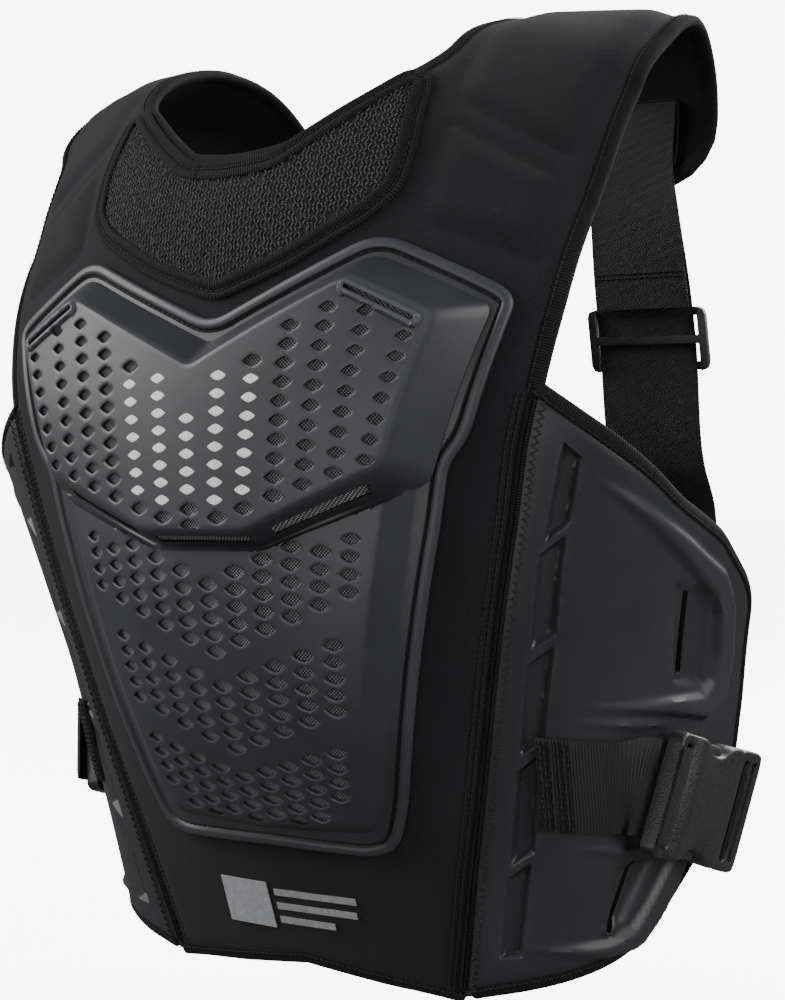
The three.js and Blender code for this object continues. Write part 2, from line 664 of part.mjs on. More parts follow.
function buckleSocket() {
  const half = socketWidth / 2;
  const slotEnd = 2 * barWidth + 1;
  const cavity = [[slotEnd + buckleWall, -webbing / 2], [socketLength + 1, webbing / 2]];
  const body = prism(box(0, socketLength, -half, half, 6), 0, socketThickness);
  const cuts = [
    prism(box(barWidth, slotEnd, -webbing / 2 - 1, webbing / 2 + 1), -1, socketThickness + 1),
    prism(box(cavity[0][0], cavity[1][0], cavity[0][1], cavity[1][1]), buckleWall, socketThickness - buckleWall),
    prism(box(-1, slotEnd, -half - 1, half + 1), socketThickness - buckleWall, socketThickness + 1),
  ];
  for (const side of [-1, 1]) {
    const centre = new THREE.Vector2(0.6 * socketLength, side * (half + scallopRadius / 3));
    const scallop = Array.from({ length: 12 }, (_, i) => {
      const angle = (i * Math.PI) / 6;
      return [centre.x + 1.3 * scallopRadius * Math.cos(angle), centre.y + scallopRadius * Math.sin(angle)];
    });
    cuts.push(prism(scallop, -1, socketThickness + 1));
  }
  return cuts.reduce((whole, cut) => whole.subtract(solid(cut)), solid(body));
}
addPair('buckle_socket', geometryOf(meshOf(buckleSocket()), bucklePoint), 0x17181a, 0.55);

function bucklePlug() {
  const start = socketLength + gap;
  const end = start + plugLength;
  const half = socketWidth / 2;
  const [low, high] = [buckleWall + gap, socketThickness - buckleWall - gap];
  const reach = webbing / 2 - gap;
  const frame = prism(box(start, end, -half, half, 5), low - 1, high + 1);
  const prongs = [-1, 1].map((side) => {
    const edge = side * reach;
    const inner = side * (reach - prongWidth);
    const [near, far] = [Math.min(edge, inner), Math.max(edge, inner)];
    return prism(box(0.4 * socketLength, start + barWidth, near, far), low, high);
  });
  const guide = prism(box(0.5 * socketLength, start + barWidth, -barWidth / 2, barWidth / 2), low, high);
  const first = start + barWidth;
  const width = (plugLength - 3 * barWidth) / 2;
  const cuts = [0, 1].map((i) => {
    const from = first + i * (width + barWidth);
    return prism(box(from, from + width, -webbing / 2 - 1, webbing / 2 + 1), -1, socketThickness);
  });
  return cuts.reduce((whole, cut) => whole.subtract(solid(cut)), joined(frame, ...prongs, guide));
}
addPair('buckle_plug', geometryOf(meshOf(bucklePlug()), bucklePoint), 0x17181a, 0.55);

// Waist webbing: sewn flat on the wing, then under the socket's bar, round it and back over itself
function waistWebbing() {
  const proud = wingThickness + webbingThickness / 2 + gap;
  const sewn = [[0.21, 0], [0.25, 0], [0.3, 2]].map(([reach, lift]) => (t) => {
    const [u, v] = onWing([reach, 0.795 + 0.12 * (reach - 0.2)]);
    return bodyPoint(u + t * Math.sin(-strapSlope), v + t * Math.cos(strapSlope), proud + lift);
  });
  const clear = webbingThickness / 2 + gap;
  const barTop = socketThickness - buckleWall;
  const inSlot = (3 * barWidth + 1) / 2;
  const round = [
    [-6, -clear - 2], [barWidth - 1, -clear - 1], [inSlot, barTop / 2], [barWidth - 1, barTop + clear + 1],
    [-4, barTop + clear + 0.5],
  ].map(([s, n]) => (t) => bucklePoint(s, t, n));
  return band([...sewn, ...round], webbing - 2, webbingThickness, 3);
}
addPair('waist_webbing', waistWebbing(), 0x1b1c1e, 0.9);

// Waist elastic: from the plug's bar round the flank to the back panel's outer face
const backRear = backDepth + backThickness;
const backFaceAt = (x) => backRear - (x * x) / (2 * backRadius);
const upright = new THREE.Vector3(0, 0, 1);
function waistElastic() {
  const half = (socketThickness + webbingThickness) / 2;
  const start = bucklePoint(socketLength + plugLength + 3, 0, half);
  const level = backTop - 0.82 * backHeight;
  const landing = [[0.93, 5], [0.8, 1.2], [0.62, 0.7], [0.4, 0.7]].map(([share, off]) => {
    const x = share * backHalf;
    return new THREE.Vector3(x, backFaceAt(x) + webbingThickness / 2 + off, level);
  });
  const turn = start.clone().lerp(landing[0], 0.5).add(new THREE.Vector3(9, 9, 0));
  const stationsRound = [
    straight(start, buckleAcross), straight(turn, buckleAcross.clone().lerp(upright, 0.5).normalize()),
    ...landing.map((at) => straight(at, upright)),
  ];
  return band(stationsRound, webbing - 2, webbingThickness);
}
addPair('waist_elastic', waistElastic(), 0x1b1c1e, 0.9);

// Back panel: a plain padded panel across the waist
function backPanel() {
  const outline = mirrored([
    [0, backTop - 12, 20], [0.5 * backHalf, backTop - 8, 20], [0.9 * backHalf, backTop, 14],
    [backHalf, backTop - 0.25 * backHeight, 20], [backHalf, backTop - 0.7 * backHeight, 30],
    [0.8 * backHalf, backTop - backHeight, 30], [0, backTop - 0.94 * backHeight, 30],
  ]);
  const upFolds = { ...foldLines[0], list: Array.from({ length: 9 }, (_, i) => (i - 4) * 0.28 * backHalf) };
  const flat = folded(solid(prism(outline, 0, backThickness)), [upFolds]);
  return geometryOf(flat, (u, v, height) => new THREE.Vector3(-u, backFaceAt(u) - backThickness + height, v));
}
addPiece('back_panel', backPanel(), 0x1c1d1f, 0.85);

// Shoulder straps: anchored under the rear pads, down to the back panel's outer face
const anchor = { u: strapMiddle, low: 0.55, high: 0.9 };
const anchorThickness = 1.6;
const anchorBox = box(
  anchor.u - strapWidth / 2, anchor.u + strapWidth / 2, anchor.low * rearLength, anchor.high * rearLength, 4,
);
addPair('strap_anchor', worn(solid(prism(anchorBox, -gap - anchorThickness, -gap))), 0x1d1e20, 0.9);

const turned = (degrees) => {
  const angle = THREE.MathUtils.degToRad(degrees);
  return new THREE.Vector3(Math.cos(angle), Math.sin(angle), 0);
};
const underAnchor = -gap - anchorThickness - gap - strapThickness / 2 - 0.6;
const underPad = [anchor.low, anchor.high].map((share) => (t) => bodyPoint(anchor.u + t, share * rearLength, underAnchor));
const release = underPad[1](0);
const sliderLevel = -150;
const strapX = release.x + 3;
const landingY = (x) => backFaceAt(x) + strapThickness / 2 + 1;
const strapAxis = [
  [new THREE.Vector3(strapX, release.y, release.z - strapWidth / 2), -2],
  [new THREE.Vector3(strapX + 2, release.y + 12, sliderLevel), 16],
  [new THREE.Vector3(strapX + 3, release.y + 22, backTop + 0.175 * backHeight), 8],
  [new THREE.Vector3(strapX + 3, landingY(strapX + 3) + 1, backTop + 0.03 * backHeight), -13],
  [new THREE.Vector3(strapX + 3, landingY(strapX + 3), backTop - 0.125 * backHeight), -14],
  [new THREE.Vector3(strapX + 3, landingY(strapX + 3), backTop - 0.3 * backHeight), -14],
].map(([at, degrees]) => ({ at, across: turned(degrees) }));
const strapStations = [...underPad, ...strapAxis.map(({ at, across }) => straight(at, across))];
addPair('shoulder_strap', band(strapStations, strapWidth, strapThickness), 0x1b1c1e, 0.9);

// Slider: a frame round the strap, its middle bar on the inner side
const sliderAt = strapAxis[1].at;
const sliderAcross = strapAxis[1].across;
const sliderDown = strapAxis[2].at.clone().sub(strapAxis[0].at).normalize();
const sliderNormal = sliderAcross.clone().cross(sliderDown).normalize();
function sliderPoint(a, d, n) {
  return sliderAt.clone().addScaledVector(sliderAcross, a).addScaledVector(sliderDown, d).addScaledVector(sliderNormal, n);
}

function slider() {
  const half = strapWidth / 2 + 1 + sliderWall;
  const inside = strapWidth / 2 + 1;
  const rise = strapThickness / 2 + 4 * gap;
  const tall = sliderHeight / 2;
  const frame = prism(box(-half, half, -tall, tall, 4), -rise - sliderThickness, rise + sliderThickness);
  const tunnel = prism(box(-inside, inside, -tall - 1, tall + 1), -rise, rise);
  const backWindow = prism(box(-inside, inside, -tall + sliderWall, tall - sliderWall), rise / 2, 3 * sliderThickness);
  const upper = prism(box(-inside, inside, sliderWall / 2, tall + 1), -3 * sliderThickness, -rise / 2);
  const lower = prism(box(-inside, inside, -tall - 1, -sliderWall / 2), -3 * sliderThickness, -rise / 2);
  return [tunnel, backWindow, upper, lower].reduce((whole, cut) => whole.subtract(solid(cut)), solid(frame));
}
addPair('strap_slider', geometryOf(meshOf(slider()), sliderPoint), 0x161718, 0.5);

// Doubled end of the shoulder strap, folded back above the slider
const foldStations = [0.5, 0.62, 0.74].map((share) => {
  const at = strapAxis[0].at.clone().lerp(strapAxis[1].at, share);
  const across = strapAxis[0].across.clone().lerp(strapAxis[1].across, share);
  return straight(at.addScaledVector(sliderNormal, -strapThickness - 3), across);
});
addPair('strap_fold', band(foldStations, strapWidth - 2, strapThickness), 0x1b1c1e, 0.9);

// Hem label: a blank light patch on the lower front
const labelAt = [-0.31 * hemCorner[0], -0.928 * frontLength];
const labelOutline = box(
  labelAt[0] - labelWidth / 2, labelAt[0] + labelWidth / 2,
  labelAt[1] - labelHeight / 2, labelAt[1] + labelHeight / 2, 1,
);
addPiece('hem_label', worn(solid(prism(labelOutline, clothTop, clothTop + labelThickness))), 0xa9abad, 0.8);

export default group;
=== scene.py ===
# A padded roost deflector: a cloth front with a moulded chest shield, side wings and a strap back.
# Metres, +Z up, the wearer faces -Y. Patterns are drawn flat in millimetres and wrapped on the body.
import math

import bmesh
import bpy
import numpy as np
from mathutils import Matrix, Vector
from mathutils.geometry import delaunay_2d_cdt


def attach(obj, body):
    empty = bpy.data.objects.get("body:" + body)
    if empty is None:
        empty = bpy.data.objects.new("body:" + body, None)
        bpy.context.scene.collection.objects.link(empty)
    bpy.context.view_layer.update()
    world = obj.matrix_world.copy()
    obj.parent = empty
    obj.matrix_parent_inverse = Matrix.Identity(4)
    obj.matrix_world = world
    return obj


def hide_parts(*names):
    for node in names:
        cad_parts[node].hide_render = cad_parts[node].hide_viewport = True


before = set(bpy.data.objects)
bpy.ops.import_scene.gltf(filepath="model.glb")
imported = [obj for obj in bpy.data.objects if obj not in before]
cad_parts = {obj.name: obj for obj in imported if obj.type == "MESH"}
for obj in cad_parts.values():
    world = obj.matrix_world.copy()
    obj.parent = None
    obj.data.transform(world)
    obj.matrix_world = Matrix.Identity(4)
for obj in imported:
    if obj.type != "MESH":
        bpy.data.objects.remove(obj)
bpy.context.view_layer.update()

# Studio: a pale plain floor, lit by a soft key from the upper left, a fill from the right, a weak
# light in front and a rim from behind. The camera stands 34 degrees to the wearer's left, level
# with the chest.
view_turn = math.radians(34)
camera_data = bpy.data.cameras.new("camera")
camera_data.sensor_width = 36
camera_data.lens = 65.16
camera_data.shift_x = 0.0625
camera_data.shift_y = 0.002
camera = bpy.data.objects.new("camera", camera_data)
camera.location = (0.533, -0.837, -0.238)
camera.rotation_euler = (math.pi / 2, 0, view_turn)
bpy.context.scene.collection.objects.link(camera)
bpy.context.scene.camera = camera


class Signal:
    """A value in a finish's node tree; arithmetic on it adds Math nodes."""

    def __init__(self, finish, socket):
        self.finish = finish
        self.socket = socket

    def math(self, operation, *values):
        sockets = dict(enumerate([self, *values]))
        return self.finish.node("ShaderNodeMath", {"operation": operation}, sockets)

    def __add__(self, other):
        return self.math("ADD", other)

    def __sub__(self, other):
        return self.math("SUBTRACT", other)

    def __mul__(self, other):
        return self.math("MULTIPLY", other)

    def __rsub__(self, other):
        return (self * -1.0).math("ADD", other)

    __radd__ = __add__
    __rmul__ = __mul__


class Finish:
    """A procedural material: nodes are added one by one and end in a Principled shader."""

    def __init__(self, name):
        self.material = bpy.data.materials.new(name)
        self.material.use_nodes = True
        self.tree = self.material.node_tree
        self.tree.nodes.clear()

    def node(self, kind, settings, sockets, out=0):
        made = self.tree.nodes.new(kind)
        for key, value in settings.items():
            if key == "stops":
                made.color_ramp.elements[0].position, made.color_ramp.elements[1].position = value
            else:
                setattr(made, key, value)
        for key, value in sockets.items():
            if isinstance(value, Signal):
                self.tree.links.new(value.socket, made.inputs[key])
            else:
                made.inputs[key].default_value = value
        return Signal(self, made.outputs[out]) if made.outputs else None

    def place(self):
        return self.node("ShaderNodeTexCoord", {}, {}, "Object")

    def pattern(self):
        flat = self.node("ShaderNodeUVMap", {"uv_map": "pattern"}, {})
        return (self.node("ShaderNodeSeparateXYZ", {}, {0: flat}, axis) for axis in ("X", "Y"))

    def noise(self, scale, detail=2.0, rough=0.5):
        sockets = {"Vector": self.place(), "Scale": scale, "Detail": detail, "Roughness": rough}
        return self.node("ShaderNodeTexNoise", {}, sockets, "Fac")

    def between(self, low, high, share):
        sockets = {"Factor": share, 6: (*low, 1.0), 7: (*high, 1.0)}
        return self.node("ShaderNodeMix", {"data_type": "RGBA"}, sockets, 2)

    def spread(self, value, low, high, new_low=0.0, new_high=1.0):
        sockets = {0: value, 1: low, 2: high, 3: new_low, 4: new_high}
        return self.node("ShaderNodeMapRange", {}, sockets)

    def relief(self, height, depth, strength=1.0, under=None):
        sockets = {"Height": height, "Distance": depth, "Strength": strength}
        if under:
            sockets["Normal"] = under
        return self.node("ShaderNodeBump", {}, sockets)

    def done(self, **sockets):
        names = {key.replace("_", " "): value for key, value in sockets.items()}
        shader = self.node("ShaderNodeBsdfPrincipled", {}, names)
        self.node("ShaderNodeOutputMaterial", {}, {"Surface": shader})
        return self.material


backdrop_strength, room_strength = 8.0, 0.2


def floor_finish():
    finish = Finish("studio floor")
    white = (0.9, 0.9, 0.9, 1)
    glow = {"Emission_Color": white, "Emission_Strength": backdrop_strength}
    return finish.done(Base_Color=white, Roughness=0.7, **glow)


floor_size, floor_level = 30.0, -0.53
floor_mesh = bpy.data.meshes.new("floor")
corners = [(x * floor_size, y * floor_size, floor_level) for x, y in ((-1, -1), (1, -1), (1, 1), (-1, 1))]
floor_mesh.from_pydata(corners, [], [(0, 1, 2, 3)])
floor_mesh.materials.append(floor_finish())
floor = bpy.data.objects.new("floor", floor_mesh)
bpy.context.scene.collection.objects.link(floor)
floor.visible_diffuse = False
floor.visible_glossy = False

world = bpy.data.worlds.new("studio")
world.use_nodes = True
room = world.node_tree.nodes["Background"]
seen = world.node_tree.nodes.new("ShaderNodeLightPath").outputs["Is Camera Ray"]
levels = world.node_tree.nodes.new("ShaderNodeMapRange")
levels.inputs["To Min"].default_value = room_strength
levels.inputs["To Max"].default_value = backdrop_strength
world.node_tree.links.new(seen, levels.inputs["Value"])
world.node_tree.links.new(levels.outputs["Result"], room.inputs["Strength"])
room.inputs["Color"].default_value = (1, 1, 1, 1)
bpy.context.scene.world = world


def softbox(name, at, aim, size, power):
    data = bpy.data.lights.new(name, "AREA")
    data.shape = "RECTANGLE"
    data.size, data.size_y = size
    data.energy = power
    lamp = bpy.data.objects.new(name, data)
    lamp.location = at
    lamp.rotation_euler = (Vector(aim) - Vector(at)).to_track_quat("-Z", "Y").to_euler()
    bpy.context.scene.collection.objects.link(lamp)


chest = (0, -0.05, -0.25)
softbox("key", (-1.65, -1.15, 0.75), chest, (1.6, 1.6), 62)
softbox("fill", (1.9, -0.35, 0.45), chest, (0.7, 1.7), 34)
softbox("front", (0.1, -1.9, -0.5), chest, (1.4, 1.0), 13)
softbox("rim", (0.5, 1.8, 0.9), chest, (1.8, 1.2), 60)

# Front panel: one piece of foam under black knitted cloth, from the hem up over both shoulders.
# It is cut flat, then takes the shape of the chest; the shoulder pads are moulded into it.
front_drop, chest_depth, chest_radius = 482, 142, 250
rear_drop, rear_depth, rear_lean = 70, 72, 20
side_turn, side_turn_length = math.radians(84), 100
front_spine = [
    (1.0, 0.43, 0.4), (0.91, 0.55, 0.65), (0.805, 0.7, 0.875), (0.69, 0.866, 1.02), (0.587, 0.958, 0.92),
    (0.494, 0.993, 0.75), (0.398, 1.0, 0.575), (0.303, 0.98, 0.6), (0.191, 0.937, 0.8), (0.098, 0.8, 0.8),
    (0.0125, 0.528, 0.65), (-0.0135, 0.243, 0.4),
]
shoulder_top = (0.16, 0, 6)
rear_spine = [(0.02, 0.42, 0.15), (0.29, 0.75, 0.15), (0.63, 0.93, 0.15), (1.0, 1.0, 0.15)]
knots = np.array(
    [(bend, -depth * chest_depth, -drop * front_drop) for drop, depth, bend in front_spine]
    + [shoulder_top]
    + [(bend, depth * rear_depth, -drop * rear_drop) for drop, depth, bend in rear_spine]
)


def along_knots(points, t):
    """Centripetal Catmull-Rom curve through the points, at t counted in points."""
    ends = np.vstack([2 * points[0] - points[1], points, 2 * points[-1] - points[-2]])
    i = np.clip(np.floor(t).astype(int), 0, len(points) - 2)
    w = (t - i)[:, None]
    p = [ends[i + k] for k in range(4)]
    d = [np.sqrt(np.maximum(1e-6, np.linalg.norm(p[k + 1] - p[k], axis=1)))[:, None] for k in range(3)]
    out = ((p[1] - p[0]) / d[0] - (p[2] - p[0]) / (d[0] + d[1]) + (p[2] - p[1]) / d[1]) * d[1]
    into = ((p[2] - p[1]) / d[1] - (p[3] - p[1]) / (d[1] + d[2]) + (p[3] - p[2]) / d[2]) * d[1]
    cubic = 2 * p[1] - 2 * p[2] + out + into
    square = 3 * p[2] - 3 * p[1] - 2 * out - into
    return p[1] + out * w + square * w ** 2 + cubic * w ** 3


knot_steps = 20
turns = np.linspace(0, len(knots) - 1, knot_steps * (len(knots) - 1) + 1)
spine_steps = np.linalg.norm(np.diff(along_knots(knots, turns), axis=0), axis=1)
spine_lengths = np.concatenate([[0], np.cumsum(spine_steps)])
front_length = spine_lengths[knot_steps * len(front_spine)]
rear_length = spine_lengths[-1] - front_length

armpit_half, armhole_flare = 160, 0.2
side_shares = [
    (1.0, 0.472), (0.955, 0.52), (0.92, 0.57), (0.875, 0.625), (0.77, 0.745),
    (0.645, 0.877), (0.578, 0.959), (0.545, 1.0),
]
side_edge = [(u * armpit_half, -v * front_length) for u, v in side_shares]
armpit, hem_corner = side_edge[0], side_edge[-1]


def side_at(v):
    """Half width of the front panel at the height v of the pattern."""
    v = np.asarray(v, float)
    us, vs = zip(*side_edge[::-1])
    return np.where(v >= armpit[1], armpit[0] + (v - armpit[1]) * armhole_flare, np.interp(v, vs, us))


def body_table(step=2.0, reach=380, below=40, beyond=20, nudge=0.002):
    """Points and outward directions of the body under a fine grid of the pattern."""
    v = np.arange(-front_length - below, rear_length + beyond, step)
    t = np.interp(np.clip(v + front_length, 0, spine_lengths[-1]), spine_lengths, turns)
    at = along_knots(knots, t)
    before, after = (along_knots(knots, np.clip(t + move, 0, turns[-1])) for move in (-nudge, nudge))
    ahead = after - before
    tilt = np.maximum(0, np.arctan2(ahead[:, 1], ahead[:, 2]))[:, None]
    bend = at[:, :1] / chest_radius
    seam = side_at(v)[:, None]
    s = np.arange(0.5, reach + 1)[None, :]
    share = np.clip((s - seam) / side_turn_length, 0, 1)
    turned = share * share * (3 - 2 * share)
    heading = np.where(s < seam, bend * s, bend * seam + (side_turn - bend * seam) * turned)
    lean = rear_lean * np.clip(v / rear_length, 0, 1)[:, None]
    start = np.zeros((len(v), 1))
    across = np.hstack([start, np.cumsum(np.cos(heading), axis=1)]) - lean
    inward = np.hstack([start, np.cumsum(np.sin(heading), axis=1)])
    u = np.arange(-reach, reach + 1, step).astype(int)
    inward = inward[:, abs(u)]
    x = np.sign(u)[None, :] * across[:, abs(u)]
    y = at[:, 1:2] + inward * np.cos(tilt)
    z = at[:, 2:3] - inward * np.sin(tilt) - np.maximum(0, -front_length - v)[:, None]
    points = np.stack([x, y, z], axis=2)
    rows, columns = np.gradient(points, axis=0), np.gradient(points, axis=1)
    normals = np.cross(columns, rows)
    normals /= np.maximum(1e-9, np.linalg.norm(normals, axis=2, keepdims=True))
    return u, v, points, normals


table_u, table_v, table_points, table_normals = body_table()


def on_body(flat, height):
    """Metres, for pattern points (u, v) and heights off the body in millimetres."""
    flat = np.asarray(flat, float)
    height = np.broadcast_to(np.asarray(height, float), flat.shape[:1])
    step = table_v[1] - table_v[0]
    column = np.clip((flat[:, 0] - table_u[0]) / step, 0, len(table_u) - 1.001)
    row = np.clip((flat[:, 1] - table_v[0]) / step, 0, len(table_v) - 1.001)
    i, j = row.astype(int), column.astype(int)
    s, t = (row - i)[:, None], (column - j)[:, None]

    def blend(grid):
        low = grid[i, j] * (1 - t) + grid[i, j + 1] * t
        high = grid[i + 1, j] * (1 - t) + grid[i + 1, j + 1] * t
        return low * (1 - s) + high * s

    normals = blend(table_normals)
    normals /= np.linalg.norm(normals, axis=1, keepdims=True)
    return (blend(table_points) + normals * height[:, None]) / 1000


def rounded(corners, steps=6):
    """Outline through [u, v, radius] corners, anticlockwise, with its corners rounded."""
    area = sum(a[0] * b[1] - b[0] * a[1] for a, b in zip(corners, [*corners[1:], corners[0]]))
    corners = corners if area > 0 else corners[::-1]
    points = []
    for i, (u, v, *radius) in enumerate(corners):
        at = np.array([u, v], float)
        if not radius or radius[0] == 0:
            points.append(at)
            continue
        ends = [np.array(corners[k % len(corners)][:2], float) for k in (i - 1, i + 1)]
        a, b = (at + (end - at) * min(0.45, radius[0] / np.linalg.norm(end - at)) for end in ends)
        points += [a * (1 - t) ** 2 + at * 2 * t * (1 - t) + b * t * t for t in np.linspace(0, 1, steps)]
    return np.array(points)


def mirrored(half):
    return [*half, *((-corner[0], *corner[1:]) for corner in half[::-1] if corner[0] > 0)]


outline_step = 2.5


def finer(line, spacing=outline_step, closed=True):
    """The same line with its points no farther apart than the spacing."""
    line = np.asarray(line, float)
    following = np.roll(line, -1, axis=0) if closed else line[1:]
    points = []
    for a, b in zip(line, following):
        count = max(1, math.ceil(np.linalg.norm(b - a) / spacing))
        points += [a + (b - a) * k / count for k in range(count)]
    return np.array(points if closed else [*points, line[-1]])


def offset(loop, distance):
    """A closed anticlockwise loop moved outwards by the distance."""
    before, after = np.roll(loop, 1, axis=0), np.roll(loop, -1, axis=0)
    edge = after - before
    side = np.stack([edge[:, 1], -edge[:, 0]], axis=1)
    return loop + distance * side / np.maximum(1e-9, np.linalg.norm(side, axis=1, keepdims=True))


def distance(points, line, closed=True):
    """How far each point is from a line of the pattern."""
    ends = np.roll(line, -1, axis=0) if closed else line[1:]
    starts = line if closed else line[:-1]
    way = ends - starts
    long = np.maximum(1e-12, (way ** 2).sum(axis=1))
    found = []
    for part in np.array_split(points, max(1, len(points) * len(line) // 1_500_000 + 1)):
        away = part[:, None] - starts[None]
        share = np.clip((away * way[None]).sum(axis=2) / long, 0, 1)
        found.append(np.sqrt(((away - share[..., None] * way[None]) ** 2).sum(axis=2).min(axis=1)))
    return np.concatenate(found)


def within(points, loop):
    """Whether each point is inside a closed loop."""
    inside = np.zeros(len(points), bool)
    box = np.all((points >= loop.min(axis=0)) & (points <= loop.max(axis=0)), axis=1)
    near = points[box]
    odd = np.zeros(len(near), bool)
    for (u0, v0), (u1, v1) in zip(loop, np.roll(loop, -1, axis=0)):
        if v0 == v1:
            continue
        crossing = (v0 > near[:, 1]) != (v1 > near[:, 1])
        odd ^= crossing & (near[:, 0] < (u1 - u0) * (near[:, 1] - v0) / (v1 - v0) + u0)
    inside[box] = odd
    return inside


def ease(share, crisp=0.0):
    """0 to 1 with soft ends; crisp near 1 makes it a straight ramp."""
    share = np.clip(share, 0, 1)
    return crisp * share + (1 - crisp) * share * share * (3 - 2 * share)


def rings(loop, steps):
    """Points along a loop at several distances inside it."""
    found = []
    for step in steps:
        ring = offset(loop, -step)
        found.append(ring[distance(ring, loop) > 0.93 * step] if step else ring)
    return np.vstack(found)


def grid_points(loop, spacing, margin):
    """A staggered grid of points inside a loop, clear of its edge."""
    (u0, v0), (u1, v1) = loop.min(axis=0), loop.max(axis=0)
    columns = np.arange(u0, u1, spacing)
    rows = []
    for k, v in enumerate(np.arange(v0, v1, spacing * 0.87)):
        rows.append(np.stack([columns + (k % 2) * spacing / 2, np.full(len(columns), v)], axis=1))
    points = np.vstack(rows)
    points = points[within(points, loop)]
    return points[distance(points, loop) > margin]


def laid(loop, holes, points):
    """Triangles over a loop with holes cut out of it, through the given points."""
    loops = [loop, *holes]
    coordinates = np.vstack([*loops, points])
    edges, start = [], 0
    for each in loops:
        edges += [(start + i, start + (i + 1) % len(each)) for i in range(len(each))]
        start += len(each)
    vertices, _, faces, *_ = delaunay_2d_cdt([Vector(p) for p in coordinates], edges, [], 0, 1e-4)
    flat = np.array([v[:] for v in vertices])
    triangles = np.array([f for f in faces if len(f) == 3])
    centres = flat[triangles].mean(axis=1)
    keep = within(centres, loop)
    for hole in holes:
        keep &= ~within(centres, hole)
    used, renumbered = np.unique(triangles[keep], return_inverse=True)
    return flat[used], renumbered.reshape(-1, 3)


def walled(triangles, count):
    """Faces of a sheet with a top, an underside numbered after it, and walls along every open edge."""
    directed = np.vstack([triangles[:, [0, 1]], triangles[:, [1, 2]], triangles[:, [2, 0]]])
    codes = directed[:, 0] * np.int64(count) + directed[:, 1]
    back = directed[:, 1] * np.int64(count) + directed[:, 0]
    open_edges = directed[~np.isin(codes, back)]
    a, b = open_edges.T
    walls = np.stack([a + count, b + count, b, a], axis=1)
    return [*triangles.tolist(), *(triangles[:, ::-1] + count).tolist(), *walls.tolist()]


def put(name, points, faces, material, flat=None, sharp=38, **marks):
    """Makes a mesh object from metres, with its pattern place as the UV map 'pattern'."""
    mesh = bpy.data.meshes.new(name)
    mesh.from_pydata([tuple(p) for p in points.tolist()], [], faces)
    mesh.update()
    if flat is not None:
        corners_at = np.empty(len(mesh.loops), dtype=np.int32)
        mesh.loops.foreach_get("vertex_index", corners_at)
        layer = mesh.uv_layers.new(name="pattern")
        layer.data.foreach_set("uv", (np.asarray(flat)[corners_at] / 1000).astype(np.float32).ravel())
    for mark, values in marks.items():
        mesh.attributes.new(mark, "FLOAT", "POINT").data.foreach_set("value", np.asarray(values, np.float32))
    mesh.shade_smooth()
    mesh.set_sharp_from_angle(angle=math.radians(sharp))
    mesh.materials.append(material)
    piece = bpy.data.objects.new(name, mesh)
    bpy.context.scene.collection.objects.link(piece)
    return piece


def worn(name, flat, triangles, top, bottom, material, place=on_body, sharp=38, **marks):
    """A sheet of the pattern with its two heights, put on the body."""
    points = np.vstack([place(flat, top), place(flat, bottom)])
    faces = walled(triangles, len(flat))
    doubled = {mark: np.tile(values, 2) for mark, values in marks.items()}
    return put(name, points, faces, material, np.vstack([flat, flat]), sharp, **doubled)


def carried(piece, slot, *nodes):
    """Ties a piece to the frame and hides the plain solids that it stands for; the slot is not used."""
    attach(piece, "root")
    if nodes:
        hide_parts(*nodes)
    return piece


def knit_finish(name, dark, light, pitch):
    """Black knitted cloth: fine loops, a little uneven, with a dusty bloom on high places."""
    finish = Finish(name)
    across, along = finish.pattern()
    turn = 2 * math.pi / pitch
    loops = (across * turn).math("SINE") * (along * turn).math("SINE")
    fluff = finish.noise(900, 3, 0.6)
    worn_patches = finish.spread(finish.noise(9, 3), 0.35, 0.7)
    share = finish.spread(loops * 0.25 + fluff * 0.6 + worn_patches * 0.4, 0.1, 0.95)
    bump = finish.relief(loops * 0.5 + fluff, 0.00035, 0.7)
    colour = finish.between(dark, light, share)
    bloom = {"Sheen_Weight": 0.06, "Sheen_Roughness": 0.5}
    return finish.done(Base_Color=colour, Roughness=0.88, Specular_IOR_Level=0.25, Normal=bump, **bloom)


strap_inner, strap_outer, foam = 97, 184, 6
neck_edge = [
    (u * strap_inner, -v * front_length, radius)
    for u, v, radius in [
        (0, 0.278, 12), (0.3, 0.27, 8), (0.52, 0.24, 8), (0.72, 0.208, 8), (0.88, 0.182, 8), (0.97, 0.155, 8),
    ]
]
strap_outside = [
    (u * strap_outer, -v * front_length, radius)
    for u, v, radius in [(1.0, 0.128, 10), (0.985, 0.259, 10), (0.96, 0.335, 10)]
]
binding_width, gap, hem_arch = 3.5, 0.35, 11
rear_end = rear_length - binding_width - gap
rear_radius = 0.36 * (strap_outer - strap_inner)
panel_corners = mirrored([
    *neck_edge,
    (strap_inner, -0.08 * front_length, 8), (strap_inner, 0), (strap_inner, rear_end, rear_radius),
    (strap_outer, rear_end, rear_radius), (strap_outer, 0),
    *strap_outside,
    *side_edge,
    (0, hem_corner[1] + hem_arch),
])
panel_loop = finer(rounded(panel_corners))


def on_strap(share, length):
    return (strap_inner + share * (strap_outer - strap_inner), length * front_length)


